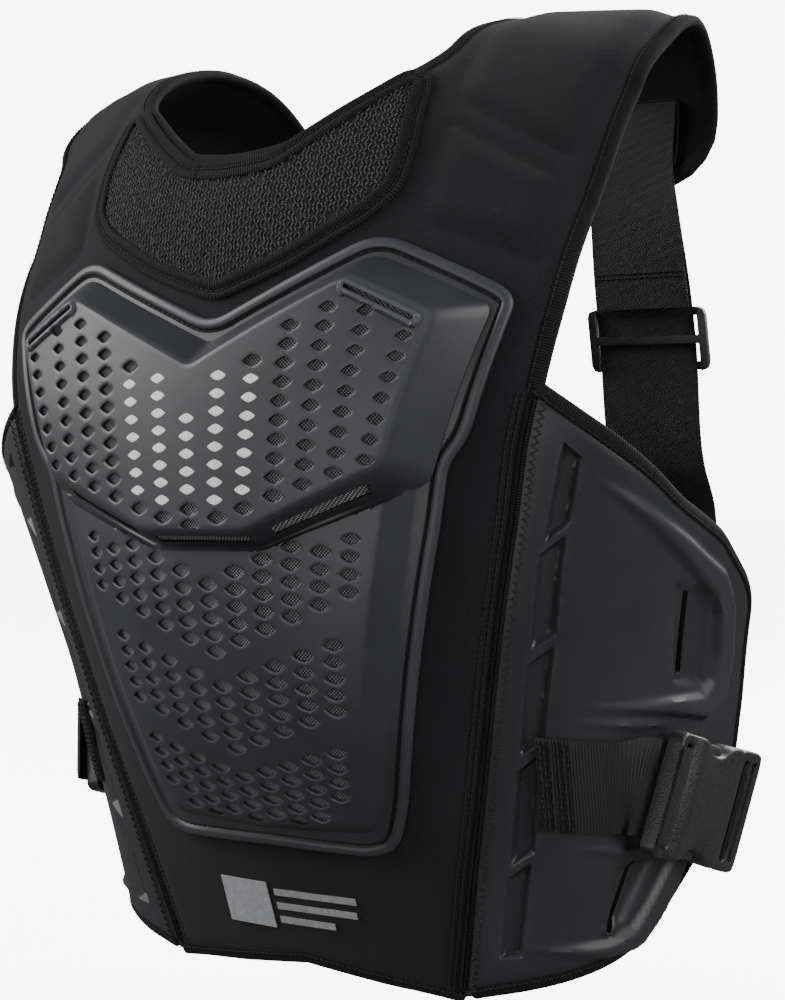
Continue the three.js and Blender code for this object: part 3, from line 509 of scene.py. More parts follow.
pad_corner, pad_rise, pad_slope = 9, 2.8, 13
pad_groove, pad_groove_reach = 0.6, 2.6
pad_shapes = [
    [(0.1, -0.215), (0.8, -0.26), (0.9, -0.13), (0.9, 0.03), (0.12, 0.03), (0.1, -0.13)],
    [(0.1, -0.24), (0.78, -0.287), (0.74, -0.38), (0.06, -0.34)],
    [(0.14, 0.05), (0.88, 0.05), (0.85, 0.165), (0.2, 0.165)],
]
pad_loops = []
for shape in pad_shapes:
    corners = [on_strap(*shares) for shares in shape]
    pad_loops += [finer(rounded([(side * u, v, pad_corner) for u, v in corners]), 3) for side in (1, -1)]
panel_points = np.vstack([
    grid_points(panel_loop, 3.6, 2.2), rings(panel_loop, (0.8, 2.0, 4.0)),
    *(rings(loop, (0, 2, 4)) for loop in pad_loops),
])
panel_flat, panel_faces = laid(panel_loop, [], panel_points)
edge_fall, edge_reach = 1.8, 9
panel_edge = distance(panel_flat, panel_loop)
panel_top = foam - edge_fall + edge_fall * ease(panel_edge / edge_reach)
for pad in pad_loops:
    edge = distance(panel_flat, pad)
    inside = within(panel_flat, pad)
    panel_top += np.where(inside, pad_rise * ease(edge / pad_slope), 0)
    panel_top -= pad_groove * np.exp(-((edge / pad_groove_reach) ** 2))
slack, slack_reach = 0.35, 14
wave = np.sin(panel_flat[:, 0] / 17 + np.sin(panel_flat[:, 1] / 23)) * np.sin(panel_flat[:, 1] / 31 + 1)
panel_top += slack * wave * ease(panel_edge / slack_reach)
cloth = knit_finish("panel cloth", (0.004, 0.0042, 0.0052), (0.0145, 0.015, 0.0182), 0.0011)
front_panel = worn("front_panel_cloth", panel_flat, panel_faces, panel_top, np.zeros(len(panel_flat)), cloth)
carried(front_panel, "panel_cloth", "front_panel")

# Edge binding: a ribbed tape folded over each free edge of the front panel and lock-stitched down.
# The collar, the arm openings and the hem have a run of their own.
stitch_inset, fold_top = 2.7, 5.75


def ribbed_finish(name, pitch):
    """Ribbed binding tape: fine ribs across it, dull black."""
    finish = Finish(name)
    _, along = finish.pattern()
    ribs = (along * (2 * math.pi / pitch)).math("SINE")
    fluff = finish.noise(1400, 2)
    share = finish.spread(ribs * 0.6 + fluff, 0.0, 1.3)
    colour = finish.between((0.003, 0.0032, 0.0038), (0.0165, 0.017, 0.02), share)
    bump = finish.relief(ribs + fluff * 0.7, 0.0003, 0.9)
    return finish.done(Base_Color=colour, Roughness=0.85, Specular_IOR_Level=0.25, Normal=bump)


def tube_faces(count, turn, closed=False):
    """Quads round a tube of count rings with turn points in each, capped where it is open."""
    faces = []
    for i in range(count if closed else count - 1):
        start, following = i * turn, ((i + 1) % count) * turn
        for k in range(turn):
            after = (k + 1) % turn
            faces.append([start + k, start + after, following + after, following + k])
    if not closed:
        faces += [list(range(turn - 1, -1, -1)), [(count - 1) * turn + k for k in range(turn)]]
    return faces


def tape(name, path, profile, material, closed=False, place=on_body):
    """A band swept along a pattern path; the profile gives steps outwards from the path and heights."""
    ahead = np.roll(path, -1, axis=0) - np.roll(path, 1, axis=0)
    if not closed:
        ahead[0], ahead[-1] = path[1] - path[0], path[-1] - path[-2]
    ahead /= np.linalg.norm(ahead, axis=1, keepdims=True)
    side = np.stack([ahead[:, 1], -ahead[:, 0]], axis=1)
    lengths = np.concatenate([[0], np.cumsum(np.linalg.norm(np.diff(path, axis=0), axis=1))])
    count, turn = len(path), len(profile)
    steps = np.array([p[0] for p in profile])
    heights = np.array([p[1] for p in profile])
    flat = (path[:, None] + side[:, None] * steps[None, :, None]).reshape(-1, 2)
    levels = np.tile(heights, count)
    own = np.stack([np.tile(np.arange(turn) * 1.5, count), np.repeat(lengths, turn)], axis=1)
    return put(name, place(flat, levels), tube_faces(count, turn, closed), material, own, 50)


fold_profile = [
    (-4.2, 4.9), (-4.0, 5.5), (-2.0, 5.6), (0.4, 5.5), (2.2, 5.0), (3.4, 3.8), (3.8, 2.4), (3.4, 1.0),
    (2.2, 0.0), (0.4, -0.5), (-2.0, -0.7), (-4.0, -0.6), (-4.2, 0.0), (-2.0, 1.2), (-0.2, 2.4), (-2.0, 3.6),
][::-1]


def stretch_of(loop, first, last):
    """The points of a closed loop from the one nearest first to the one nearest last, anticlockwise."""
    i, j = (int(np.argmin(((loop - np.array(end)) ** 2).sum(axis=1))) for end in (first, last))
    return np.roll(loop, -i, axis=0)[: (j - i) % len(loop) + 1]


tape_cloth = ribbed_finish("binding tape", 0.0013)
strap_middle = (strap_inner + strap_outer) / 2
arm_end = (armpit[0] + 0.5, armpit[1] + 0.5)
hem_end = (hem_corner[0] - 1, hem_corner[1] + 0.2)
binding_runs = {
    "collar_binding": ((strap_middle - 1, rear_end), (-strap_middle + 1, rear_end)),
    "arm_binding_left": (arm_end, (strap_middle + 1, rear_end)),
    "arm_binding_right": ((-strap_middle - 1, rear_end), (-arm_end[0], arm_end[1])),
    "hem_binding": ((-hem_end[0], hem_end[1]), hem_end),
}
panel_paths = {name: stretch_of(panel_loop, *ends) for name, ends in binding_runs.items()}
for name, path in panel_paths.items():
    carried(tape(name + "_tape", path, fold_profile, tape_cloth), "binding", name)


# Stitches: black thread in short arches, locked through the tape and the cloth along each seam.
# One Geometry Nodes tree bends a round thread and sets it along a line, straight or zigzag.
def stitch_tree():
    tree = bpy.data.node_groups.new("stitches", "GeometryNodeTree")
    face = tree.interface
    face.new_socket("Seam", in_out="INPUT", socket_type="NodeSocketGeometry")
    for label in ("Pitch", "Length", "Thread", "Rise", "Slant"):
        face.new_socket(label, in_out="INPUT", socket_type="NodeSocketFloat")
    face.new_socket("Thread finish", in_out="INPUT", socket_type="NodeSocketMaterial")
    face.new_socket("Stitches", in_out="OUTPUT", socket_type="NodeSocketGeometry")

    def node(kind, settings, sockets):
        made = tree.nodes.new(kind)
        for key, value in settings.items():
            setattr(made, key, value)
        for key, value in sockets.items():
            if isinstance(value, bpy.types.NodeSocket):
                tree.links.new(value, made.inputs[key])
            else:
                made.inputs[key].default_value = value
        return made.outputs[0]

    given = tree.nodes.new("NodeGroupInput").outputs
    seam = node("GeometryNodeMeshToCurve", {}, {"Mesh": given["Seam"]})
    spaced = node("GeometryNodeResampleCurve", {"mode": "LENGTH"}, {"Curve": seam, "Length": given["Pitch"]})
    half = node("ShaderNodeMath", {"operation": "MULTIPLY"}, {0: given["Length"], 1: 0.5})
    back = node("ShaderNodeMath", {"operation": "MULTIPLY"}, {0: half, 1: -1.0})
    start = node("ShaderNodeCombineXYZ", {}, {"X": back})
    end = node("ShaderNodeCombineXYZ", {}, {"X": half})
    crest = node("ShaderNodeCombineXYZ", {}, {"Z": given["Rise"]})
    arch_sockets = {"Resolution": 4, "Start": start, "Middle": crest, "End": end}
    arch = node("GeometryNodeCurveQuadraticBezier", {}, arch_sockets)
    radius = node("ShaderNodeMath", {"operation": "MULTIPLY"}, {0: given["Thread"], 1: 0.5})
    ring = node("GeometryNodeCurvePrimitiveCircle", {"mode": "RADIUS"}, {"Resolution": 5, "Radius": radius})
    thread = node("GeometryNodeCurveToMesh", {}, {"Curve": arch, "Profile Curve": ring, "Fill Caps": True})
    outward = node("GeometryNodeInputNamedAttribute", {"data_type": "FLOAT_VECTOR"}, {"Name": "out"})
    tangent = node("GeometryNodeInputTangent", {}, {})
    faced = node("FunctionNodeAlignRotationToVector", {"axis": "Z"}, {"Vector": outward})
    along = {"Rotation": faced, "Vector": tangent}
    aimed = node("FunctionNodeAlignRotationToVector", {"axis": "X", "pivot_axis": "Z"}, along)
    index = node("GeometryNodeInputIndex", {}, {})
    odd = node("ShaderNodeMath", {"operation": "MODULO"}, {0: index, 1: 2.0})
    sign = node("ShaderNodeMath", {"operation": "MULTIPLY_ADD"}, {0: odd, 1: 2.0, 2: -1.0})
    slant = node("ShaderNodeMath", {"operation": "MULTIPLY"}, {0: sign, 1: given["Slant"]})
    turn = node("ShaderNodeCombineXYZ", {}, {"Z": slant})
    turned = node("FunctionNodeEulerToRotation", {}, {"Euler": turn})
    tilted = {"Rotation": aimed, "Rotate By": turned}
    laid_down = node("FunctionNodeRotateRotation", {"rotation_space": "LOCAL"}, tilted)
    placed = {"Points": spaced, "Instance": thread, "Rotation": laid_down}
    sewn = node("GeometryNodeInstanceOnPoints", {}, placed)
    real = node("GeometryNodeRealizeInstances", {}, {"Geometry": sewn})
    finished = node("GeometryNodeSetMaterial", {}, {"Geometry": real, "Material": given["Thread finish"]})
    tree.links.new(finished, tree.nodes.new("NodeGroupOutput").inputs["Stitches"])
    return tree


stitches = stitch_tree()


def sew(name, seams, slot, material, pitch=3.0, length=2.2, thread=0.55, rise=0.7, slant=0.0):
    """Rows of stitches along seams, each a line of points in metres and the direction out of the cloth.

    Pitch, length, thread and rise are in millimetres; slant turns every other stitch, in radians.
    """
    points, edges, outs = [], [], []
    for line, out in seams:
        edges += [(len(points) + i, len(points) + i + 1) for i in range(len(line) - 1)]
        points += [tuple(p) for p in line.tolist()]
        outs += [tuple(p) for p in out.tolist()]
    mesh = bpy.data.meshes.new(name + "_seam")
    mesh.from_pydata(points, edges, [])
    outward = mesh.attributes.new("out", "FLOAT_VECTOR", "POINT")
    outward.data.foreach_set("vector", np.array(outs, np.float32).ravel())
    seam = bpy.data.objects.new(name + "_seam", mesh)
    bpy.context.scene.collection.objects.link(seam)
    modifier = seam.modifiers.new("stitches", "NODES")
    modifier.node_group = stitches
    sizes = {"Pitch": pitch, "Length": length, "Thread": thread, "Rise": rise}
    values = {label: size / 1000 for label, size in sizes.items()}
    values.update({"Slant": slant, "Thread finish": material})
    for item in stitches.interface.items_tree:
        if item.in_out == "INPUT" and item.name in values:
            modifier[item.identifier] = values[item.name]
    evaluated = seam.evaluated_get(bpy.context.evaluated_depsgraph_get())
    plain = bpy.data.meshes.new_from_object(evaluated)
    plain.name = name
    bpy.data.objects.remove(seam)
    if not plain.materials:
        plain.materials.append(material)
    plain.shade_smooth()
    row = bpy.data.objects.new(name, plain)
    bpy.context.scene.collection.objects.link(row)
    return carried(row, slot)


def seam_on_body(path, height):
    """A seam along a pattern path: its points, and the direction out of the body at each."""
    low, high = on_body(path, height), on_body(path, np.asarray(height) + 5.0)
    out = high - low
    return low, out / np.linalg.norm(out, axis=1, keepdims=True)


def thread_finish(name, dark, light):
    finish = Finish(name)
    share = finish.spread(finish.noise(700, 2), 0.3, 0.75)
    return finish.done(Base_Color=finish.between(dark, light, share), Roughness=0.7, Specular_IOR_Level=0.35)


def inset_path(path, distance_in):
    ahead = np.gradient(path, axis=0)
    ahead /= np.linalg.norm(ahead, axis=1, keepdims=True)
    return path - distance_in * np.stack([ahead[:, 1], -ahead[:, 0]], axis=1)


black_thread = thread_finish("black thread", (0.006, 0.006, 0.007), (0.02, 0.02, 0.022))
edge_stitch = {"pitch": 3.2, "length": 2.4, "thread": 0.6}
edge_seams = [seam_on_body(inset_path(path, stitch_inset), fold_top) for path in panel_paths.values()]
sew("binding_stitches", edge_seams, "binding", black_thread, **edge_stitch)

# Mesh yoke: an open warp-knit sheet below the collar, framed by two rows of ribbed tape.
# Its knots stand up from the sheet, paler than the holes between them, whose dark is painted shade.
yoke_half, yoke_length = 88, 110
yoke_bottom = -0.383 * front_length
yoke_corners = mirrored([
    (u * yoke_half, yoke_bottom + v * yoke_length, radius)
    for u, v, radius in [
        (0, 0.47, 10), (0.31, 0.5, 8), (0.57, 0.66, 8), (0.8, 0.83, 8), (0.975, 0.985, 6),
        (1.0, 0.6, 8), (0.975, 0.41, 6), (0.84, 0.3, 6), (0.43, 0.12, 8), (0, 0, 6),
    ]
])
yoke_loop = finer(rounded(yoke_corners))


def mesh_finish(name, dark, light, pitch, eye=None):
    """Open knitted mesh: rows of small knots, where asked parted by rows of wider eyes; the dark between the
    knots and in the eyes is painted shade of the open holes.
    """
    finish = Finish(name)
    across, along = finish.pattern()
    turn = math.pi / pitch
    lines = ((across + along) * turn).math("SINE") * ((across - along) * turn).math("SINE")
    knots = lines.math("ABSOLUTE")
    if eye:
        wide = (across * (2 * math.pi / eye[0])).math("SINE") * (along * (2 * math.pi / eye[1])).math("SINE")
        # the eyes are painted dark: painted shade where the mesh has open holes
        knots = knots * (1.0 - finish.spread(wide, 0.3, 0.6))
    # colour: the dark between the knots and in the eyes is painted shade of the open holes
    colour = finish.between(dark, light, finish.spread(knots, 0.1, 0.8))
    bump = finish.relief(knots, 0.0006, 0.9)
    return finish.done(Base_Color=colour, Roughness=0.75, Specular_IOR_Level=0.3, Normal=bump)


cloth_level, mesh_thickness, sheet_thickness = foam + gap, 1.5, 0.9
eye_width, eye_height = 9, 12
yoke_points = np.vstack([grid_points(yoke_loop, 4, 2), rings(yoke_loop, (1.5,))])
yoke_flat, yoke_faces = laid(yoke_loop, [], yoke_points)
eye_size = (eye_width / 1000, eye_height / 1000)
yoke_mesh = mesh_finish("yoke mesh", (0.0012, 0.0012, 0.0015), (0.01, 0.01, 0.012), 0.0024, eye_size)
knot_stand = 0.5
yoke_top = np.full(len(yoke_flat), cloth_level + mesh_thickness - knot_stand)
mesh_yoke = worn("mesh_yoke_sheet", yoke_flat, yoke_faces, yoke_top, yoke_top - sheet_thickness, yoke_mesh)
carried(mesh_yoke, "yoke_mesh", "mesh_yoke")


def flat_area(loop):
    """Square metres inside a loop that is drawn in millimetres."""
    u, v = loop.T
    return abs(np.dot(u, np.roll(v, -1)) - np.dot(v, np.roll(u, -1))) / 2e6


def flat_size(loop):
    """Metres across and along a loop that is drawn in millimetres."""
    return tuple((loop.max(axis=0) - loop.min(axis=0)) / 1000)


yoke_size, yoke_area = flat_size(yoke_loop), flat_area(yoke_loop)
knot_thread = thread_finish("yoke knots", (0.016, 0.016, 0.018), (0.085, 0.087, 0.094))
knot_pitch, knot_column, knot_level = 2.3, 2.05, cloth_level + mesh_thickness - 0.55
line_points, shortest_run = 200, 6
knot_rows = []
for k, u in enumerate(np.arange(-yoke_half, yoke_half, knot_column)):
    v = np.linspace(yoke_bottom, yoke_bottom + yoke_length, line_points)
    line = np.stack([np.full(line_points, u), v + (k % 2) * knot_pitch / 2], axis=1)
    eyes = np.sin(2 * math.pi * line[:, 0] / eye_width) * np.sin(2 * math.pi * line[:, 1] / eye_height) > 0.6
    inside = within(line, yoke_loop) & (distance(line, yoke_loop) > 1.0) & ~eyes
    breaks = np.where(np.diff(inside.astype(int)) != 0)[0] + 1
    for run, kept in zip(np.split(line, breaks), np.split(inside, breaks)):
        if len(run) > shortest_run and kept[0]:
            knot_rows.append(seam_on_body(run, knot_level))
knot_sizes = {"pitch": knot_pitch, "length": 2.1, "thread": 0.75, "rise": 0.7, "slant": 0.5}
sew("yoke_knots", knot_rows, "yoke_mesh", knot_thread, **knot_sizes)

border_groove, border_top = 4.3, 7.5
border_profile = [
    (8.2, 6.5), (8.4, 7.4), (7.4, 8.3), (6.0, 8.4), (4.9, 7.5), (4.2, 7.3),
    (3.4, 7.7), (2.4, 8.8), (0.8, 9.1), (-0.6, 8.9), (-1.3, 8.2), (-1.2, 6.8),
][::-1]
border = tape("yoke_border_tape", yoke_loop, border_profile, tape_cloth, closed=True)
carried(border, "binding", "yoke_border")
border_path = offset(yoke_loop, border_groove)
border_seam = seam_on_body(np.vstack([border_path, border_path[:1]]), border_top)
sew("yoke_stitches", [border_seam], "binding", black_thread, **edge_stitch)

# Chest shield: two satin shells of moulded plastic, sewn to the foam through a grooved flange.
# The lower shell is one with the flange; the raised upper shell stands over it on sloping walls.
shield_half, shield_length, shell = 151, 303, 2.6
lower_hole, upper_hole, mark_size = (11.4, 6.5), (10.8, 6.3), (8.6, 4.8)
shield_top = -0.349 * front_length
flange_level = cloth_level + shell
upper_rise, lower_rise = 17, 6


def on_shield(shares):
    return [(u * shield_half, shield_top - v * shield_length, *radius) for u, v, *radius in shares]


flange_loop = finer(rounded(mirrored(on_shield([
    (0, 0.129, 10), (0.57, 0, 14), (1.0, 0.1, 12), (0.97, 0.15, 8), (0.865, 0.31, 10), (0.795, 0.352, 6),
    (0.76, 0.44, 8), (0.64, 0.67, 10), (0.525, 0.9, 8), (0.47, 0.98, 12), (0.38, 1.0, 8), (0, 0.995),
]))), 2.2)
upper_foot = rounded(mirrored(on_shield([
    (0, 0.162, 4), (0.56, 0.035, 8), (0.93, 0.118, 6), (0.74, 0.378, 6), (0.2, 0.482, 6), (0, 0.482),
])))
upper_crest = rounded(mirrored(on_shield([
    (0, 0.205, 4), (0.515, 0.08, 8), (0.765, 0.14, 6), (0.61, 0.347, 6), (0.185, 0.446, 6), (0, 0.446),
])))
lower_foot = finer(rounded(mirrored(on_shield([
    (0, 0.474), (0.205, 0.474, 4), (0.7, 0.38, 4), (0.57, 0.67, 8), (0.46, 0.89, 8), (0.4, 0.955, 8),
    (0, 0.962),
]))))
ridge_ends = on_shield([(-0.7, 0.38), (0.7, 0.38)])
lower_side_line = stretch_of(lower_foot, *ridge_ends)
lower_ridge_line = stretch_of(lower_foot, *ridge_ends[::-1])


def plastic_finish(name, dark, light, grain=0.00012):
    """Satin moulded plastic: a fine grain, cloudy gloss, and rims round holes and edges painted paler, as
    wear and as painted highlights.
    """
    finish = Finish(name)
    cloudy = finish.noise(14, 3, 0.6)
    speckle = finish.noise(1500, 2, 0.6)
    # rim: painted highlights along edges, ridges and hole rims, partly also wear; it makes the colour paler
    rim = finish.node("ShaderNodeAttribute", {"attribute_name": "rim"}, {}, "Fac")
    share = finish.spread(cloudy * 0.7 + speckle * 0.3 + rim * 0.55, 0.3, 1.5)
    rough = finish.spread(cloudy + speckle * 0.4, 0.4, 1.1, 0.4, 0.54)
    bump = finish.relief(speckle, grain, 0.5)
    return finish.done(Base_Color=finish.between(dark, light, share), Roughness=rough, Normal=bump)


shield_plastic = plastic_finish("shield plastic", (0.0155, 0.0162, 0.019), (0.07, 0.072, 0.081))


def hole_loop(centre, half_width, half_height, points=16):
    """A diamond with full sides; a fullness of 1 would be straight sides, and 2 an ellipse."""
    angles = np.linspace(0, 2 * math.pi, points, endpoint=False)
    x, y = np.cos(angles), np.sin(angles)
    fullness = 1.3
    reach = (abs(x) ** fullness + abs(y) ** fullness) ** (-1 / fullness)
    return np.array(centre) + np.stack([x * reach * half_width, y * reach * half_height], axis=1)


def hole_column(column, high, low, count, spread, lean):
    """Centres of one column of holes from high to low; columns stand lean farther apart at the top."""
    share = np.linspace(0, 1, count)
    v = high + (low - high) * share
    return [(column * (spread + lean * (1 - s)), height) for s, height in zip(share, v)]


upper_spread, upper_lean, mark_lean = 14.6, 3.0, 2.6
upper_columns = {
    3: (-250.7, -325.2, 10), 4: (-243.2, -319.9, 10), 5: (-245.6, -314.4, 9), 6: (-257.1, -308.7, 7),
}
bare_columns = {0: (-290.5, -322.5, 5), 1: (-271.9, -327.2, 8), 2: (-273.8, -322.6, 7)}
upper_holes = [(0, -331.5), (0, -338.8)]
upper_holes += [(side * u, v) for u, v in ((15, -335.2), (29, -330.9), (34.5, -265.7)) for side in (1, -1)]
for column, (high, low, count) in upper_columns.items():
    for side in (1, -1):
        upper_holes += hole_column(side * column, high, low, count, upper_spread, upper_lean)
pale_marks = []
for column, (high, low, count) in bare_columns.items():
    for side in ((1, -1) if column else (1,)):
        pale_marks += hole_column(side * column, high, low, count, upper_spread, mark_lean)

# the lower shell's three groups: columns to each side, top, rows, rise and spread a column
lower_groups = [(5, -367, 5, 6.0, 15.2), (4, -416, 5, 5.6, 15.2), (4, -464, 4, 4.2, 13.2)]
lower_row, lower_lean, hole_room = 8.0, 0.9, 5.2
lower_lattice = []
for reach, group_top, group_rows, rise, spread in lower_groups:
    for column in range(-reach, reach + 1):
        count = group_rows + (1 if group_rows == 4 and abs(column) in (2, 3) else 0)
        high = group_top + rise * abs(column)
        low = high - lower_row * (count - 1)
        lower_lattice += hole_column(column, high, low, count, spread - lower_lean, lower_lean)
lower_lattice = np.array(lower_lattice)
roomy = distance(lower_lattice, lower_foot) > hole_room
lower_holes = lower_lattice[roomy & within(lower_lattice, lower_foot)]


def perforations(centres, width, height, side_loss=0.22, side=95):
    """Rounded diamond holes, a little smaller towards the sides."""
    found = []
    for u, v in centres:
        shrink = 1 - side_loss * min(1, abs(u) / side) ** 1.5
        found.append(hole_loop((u, v), width * shrink / 2, height * shrink / 2))
    return found


bevel_width, bevel_depth = 0.65, 0.3


def chamfer(flat, holes):
    """Depth of the bevel at each point near a hole, and how pale its rim is painted, as wear and as a painted
    highlight.
    """
    away = np.full(len(flat), 9.0)
    for hole in holes:
        centre = hole.mean(axis=0)
        near = (abs(flat - centre) < 10).all(axis=1)
        if near.any():
            away[near] = np.minimum(away[near], distance(flat[near], hole))
    return bevel_depth * (1 - ease(away / bevel_width, 0.6)), 1 - ease(away / (1.3 * bevel_width))


def hole_rings(holes):
    """Points round each hole at the foot of its bevel and on the flat beside it, clear of the other holes."""
    found = []
    centres = np.array([hole.mean(axis=0) for hole in holes])
    for i, hole in enumerate(holes):
        near = abs(centres - centres[i]).max(axis=1) < 16
        others = [holes[k] for k in np.flatnonzero(near) if k != i]
        for step in (bevel_width, 1.5):
            ring = offset(hole, step)
            away = np.min([distance(ring, other) for other in others], axis=0)
            found.append(ring[away > 0.9 * step])
    return np.vstack(found)


def raised(flat, ridge_ramp=2.4, foot_ramp=8, flank_ramp=13, foot_v=-490, flank_v=-450):
    """How far the lower plate stands over the flange: a long ramp at its sides, a short one at its top."""
    up = np.clip((flat[:, 1] - foot_v) / (flank_v - foot_v), 0, 1)
    side_ramp = foot_ramp + (flank_ramp - foot_ramp) * up
    away = distance(flat, lower_side_line, closed=False) / side_ramp
    away = np.minimum(away, distance(flat, lower_ridge_line, closed=False) / ridge_ramp)
    return np.where(within(flat, lower_foot), lower_rise * ease(away, 0.9), 0)


bead_rise, bead_at, bead_half = 1.7, 2.6, 2.7
groove_depth, groove_at, groove_half = 1.1, 6.0, 0.6
window_inset, base_wall, flange_fall = 5.5, 2.2, 0.4
window_loop = finer(offset(finer(upper_foot), -window_inset))
lower_cuts = perforations(lower_holes, *lower_hole)
base_points = np.vstack([
    grid_points(flange_loop, 4.0, 7.6),
    rings(flange_loop, (0.5, 1.2, 2.2, 3.2, 4.2, 4.9, 5.5, 6.0, 6.5, 7.1)),
    rings(lower_foot, (0, 0.7, 1.4, 2.4, 3.2, 5, 7, 8.2, 10, 12, 13.2)),
    hole_rings(lower_cuts),
])
base_points = base_points[~within(base_points, window_loop)]
base_points = base_points[distance(base_points, window_loop) > 0.3]
base_points = base_points[within(base_points, flange_loop)]
base_flat, base_faces = laid(flange_loop, [window_loop, *lower_cuts], base_points)
from_edge = distance(base_flat, flange_loop)
bead = bead_rise * np.sqrt(np.clip(1 - ((from_edge - bead_at) / bead_half) ** 2, 0, 1))
groove = groove_depth * np.exp(-(((from_edge - groove_at) / groove_half) ** 2))
dent, rim = chamfer(base_flat, lower_cuts)
base_top = flange_level - flange_fall + flange_fall * ease(from_edge / 7.5) + bead - groove
base_top += raised(base_flat) - dent
# the flange's bead is painted paler: a painted highlight and wear
rim = np.maximum(rim, 0.5 * np.exp(-(((from_edge - 2.0) / 1.6) ** 2)))
base_under = np.maximum(cloth_level, base_top - base_wall)
shield_base = worn(
    "shield_base_shell", base_flat, base_faces, base_top, base_under, shield_plastic, sharp=30, rim=rim
)
carried(shield_base, "shield_plastic", "shield_base")
flange_path = offset(flange_loop, -groove_at)
flange_seam = seam_on_body(np.vstack([flange_path, flange_path[:1]]), flange_level - 0.95)
sew("shield_stitches", [flange_seam], "binding", black_thread, pitch=3.6, length=2.9, thread=0.8, rise=0.9)

# Upper shell: a perforated plateau with a slot between two ridges at each shoulder end.
# Its foot stands on the flange, and three mesh vents open in its lower wall.
plateau, crest_fall, wall_bulge, plate_wall = flange_level + upper_rise, 0.35, 1.1, 2.0
wall_shares = np.array([0, 0.06, 0.15, 0.25, 0.35, 0.45, 0.55, 0.65, 0.75, 0.85, 0.93, 0.98, 1.0])
wall_levels = plateau - (plateau - flange_level - gap - 0.5) * (1 - wall_shares) ** wall_bulge
wall_levels[-3:] = plateau - np.array([1.25, 0.55, crest_fall])
crest_line, foot_line = [], []
feet = zip(upper_foot, np.roll(upper_foot, -1, axis=0))
crests = zip(upper_crest, np.roll(upper_crest, -1, axis=0))
for (a, b), (c, d) in zip(feet, crests):
    count = max(1, math.ceil(np.linalg.norm(b - a) / outline_step))
    foot_line += [a + (b - a) * k / count for k in range(count)]
    crest_line += [c + (d - c) * k / count for k in range(count)]
foot_line, crest_line = np.array(foot_line), np.array(crest_line)
slot_ends, slot_half = [(77.5, -234.2), (109.5, -250.2)], 0.9
slot_ridge, ridge_at, ridge_half = 1.9, 1.3, 1.6
slots = []
for side in (1, -1):
    a, b = (np.array([side * u, v]) for u, v in slot_ends)
    way = (b - a) / np.linalg.norm(b - a)
    aside = np.array([-way[1], way[0]]) * slot_half
    slots.append(finer(rounded([tuple(end) for end in (a + aside, b + aside, b - aside, a - aside)]), 2.0))
upper_cuts = perforations(upper_holes, *upper_hole)
plate_points = np.vstack([
    grid_points(crest_line, 4.0, 2.4), rings(crest_line, (0.6, 1.3, 2.2)), hole_rings(upper_cuts),
    *(offset(slot, step) for slot in slots for step in (0.5, 1.1, 1.8, 2.5, 3.2)),
])
plate_points = plate_points[within(plate_points, crest_line)]
plate_points = plate_points[distance(plate_points, crest_line) > 0.35]
plate_flat, plate_faces = laid(crest_line, [*upper_cuts, *slots], plate_points)
dent, rim = chamfer(plate_flat, upper_cuts)
from_crest = distance(plate_flat, crest_line)
from_slot = np.minimum(distance(plate_flat, slots[0]), distance(plate_flat, slots[1]))
ridge = slot_ridge * np.sqrt(np.clip(1 - ((from_slot - ridge_at) / ridge_half) ** 2, 0, 1))
plate_top = plateau - crest_fall * (1 - ease(from_crest / 1.3)) - dent + ridge
# the crest edge is painted paler (a painted highlight and wear), and the slot ridges paler still, as a
# painted highlight
rim = np.maximum(rim, 0.8 * (1 - ease(from_crest / 1.6)))
rim = np.maximum(rim, 1.5 * np.clip(ridge / slot_ridge, 0, 1))
turn = len(crest_line)
wall_flat = np.vstack([foot_line + (crest_line - foot_line) * share for share in wall_shares])
wall_top = np.repeat(wall_levels, turn)
# the top of the wall is painted paler: a painted highlight and wear
wall_rim = np.repeat(np.where(wall_shares > 0.9, 0.7, 0.0), turn)
vent_bands, vent_top, vent_spans = (4, 5, 6), -305, [(-1, 27), (38, 86)]
wall_faces, vent_faces = [], []
for i in range(len(wall_shares) - 1):
    for k in range(turn):
        a, b = i * turn + k, i * turn + (k + 1) % turn
        pair = [[a, b, b + turn], [a, b + turn, a + turn]]
        u, v = wall_flat[a]
        open_here = any(near < abs(u) < far for near, far in vent_spans)
        is_vent = i in vent_bands and v < vent_top and open_here
        (vent_faces if is_vent else wall_faces).extend(pair)
plate_count = len(plate_flat)
all_flat = np.vstack([plate_flat, wall_flat])
all_top = np.concatenate([plate_top, wall_top])
all_rim = np.concatenate([rim, wall_rim])
all_faces = np.vstack([plate_faces, np.array(wall_faces) + plate_count])
first_there = {}
merged = np.arange(len(all_flat))
for i in [*range(plate_count), *range(len(all_flat) - turn, len(all_flat))]:
    merged[i] = first_there.setdefault(tuple(np.round(all_flat[i], 3)), i)
all_faces = merged[all_faces]
used, renumbered = np.unique(all_faces, return_inverse=True)
all_faces = renumbered.reshape(-1, 3)
shell_flat = all_flat[used]
seat = flange_level + raised(shell_flat)
shell_top = np.maximum(all_top[used], seat + gap + 0.5)
shell_under = np.maximum(seat + 0.2, shell_top - plate_wall)
shield_plate = worn(
    "shield_plate_shell", shell_flat, all_faces, shell_top, shell_under, shield_plastic,
    sharp=30, rim=all_rim[used],
)
carried(shield_plate, "shield_plastic", "shield_plate")

# Backing: pale open mesh bonded behind the perforations and in the three vents, so that it shows
# in each hole. It is stretched flat under the upper shell and follows the rise of the lower one.
backing_mesh = mesh_finish("backing mesh", (0.006, 0.006, 0.007), (0.36, 0.36, 0.38), 0.0017)
backing_thickness, upper_drop, lower_drop, vent_drop, vent_shift = 0.8, 2.9, 2.7, 0.6, 0.9


def backing(name, loop, level, node, rise=None):
    flat, faces = laid(loop, [], grid_points(loop, 3, 1.5))
    top = level + (rise(flat) if rise else np.zeros(len(flat)))
    sheet = worn(name, flat, faces, top, top - backing_thickness, backing_mesh)
    carried(sheet, "backing_mesh", node)
    size, area = flat_size(loop), flat_area(loop)


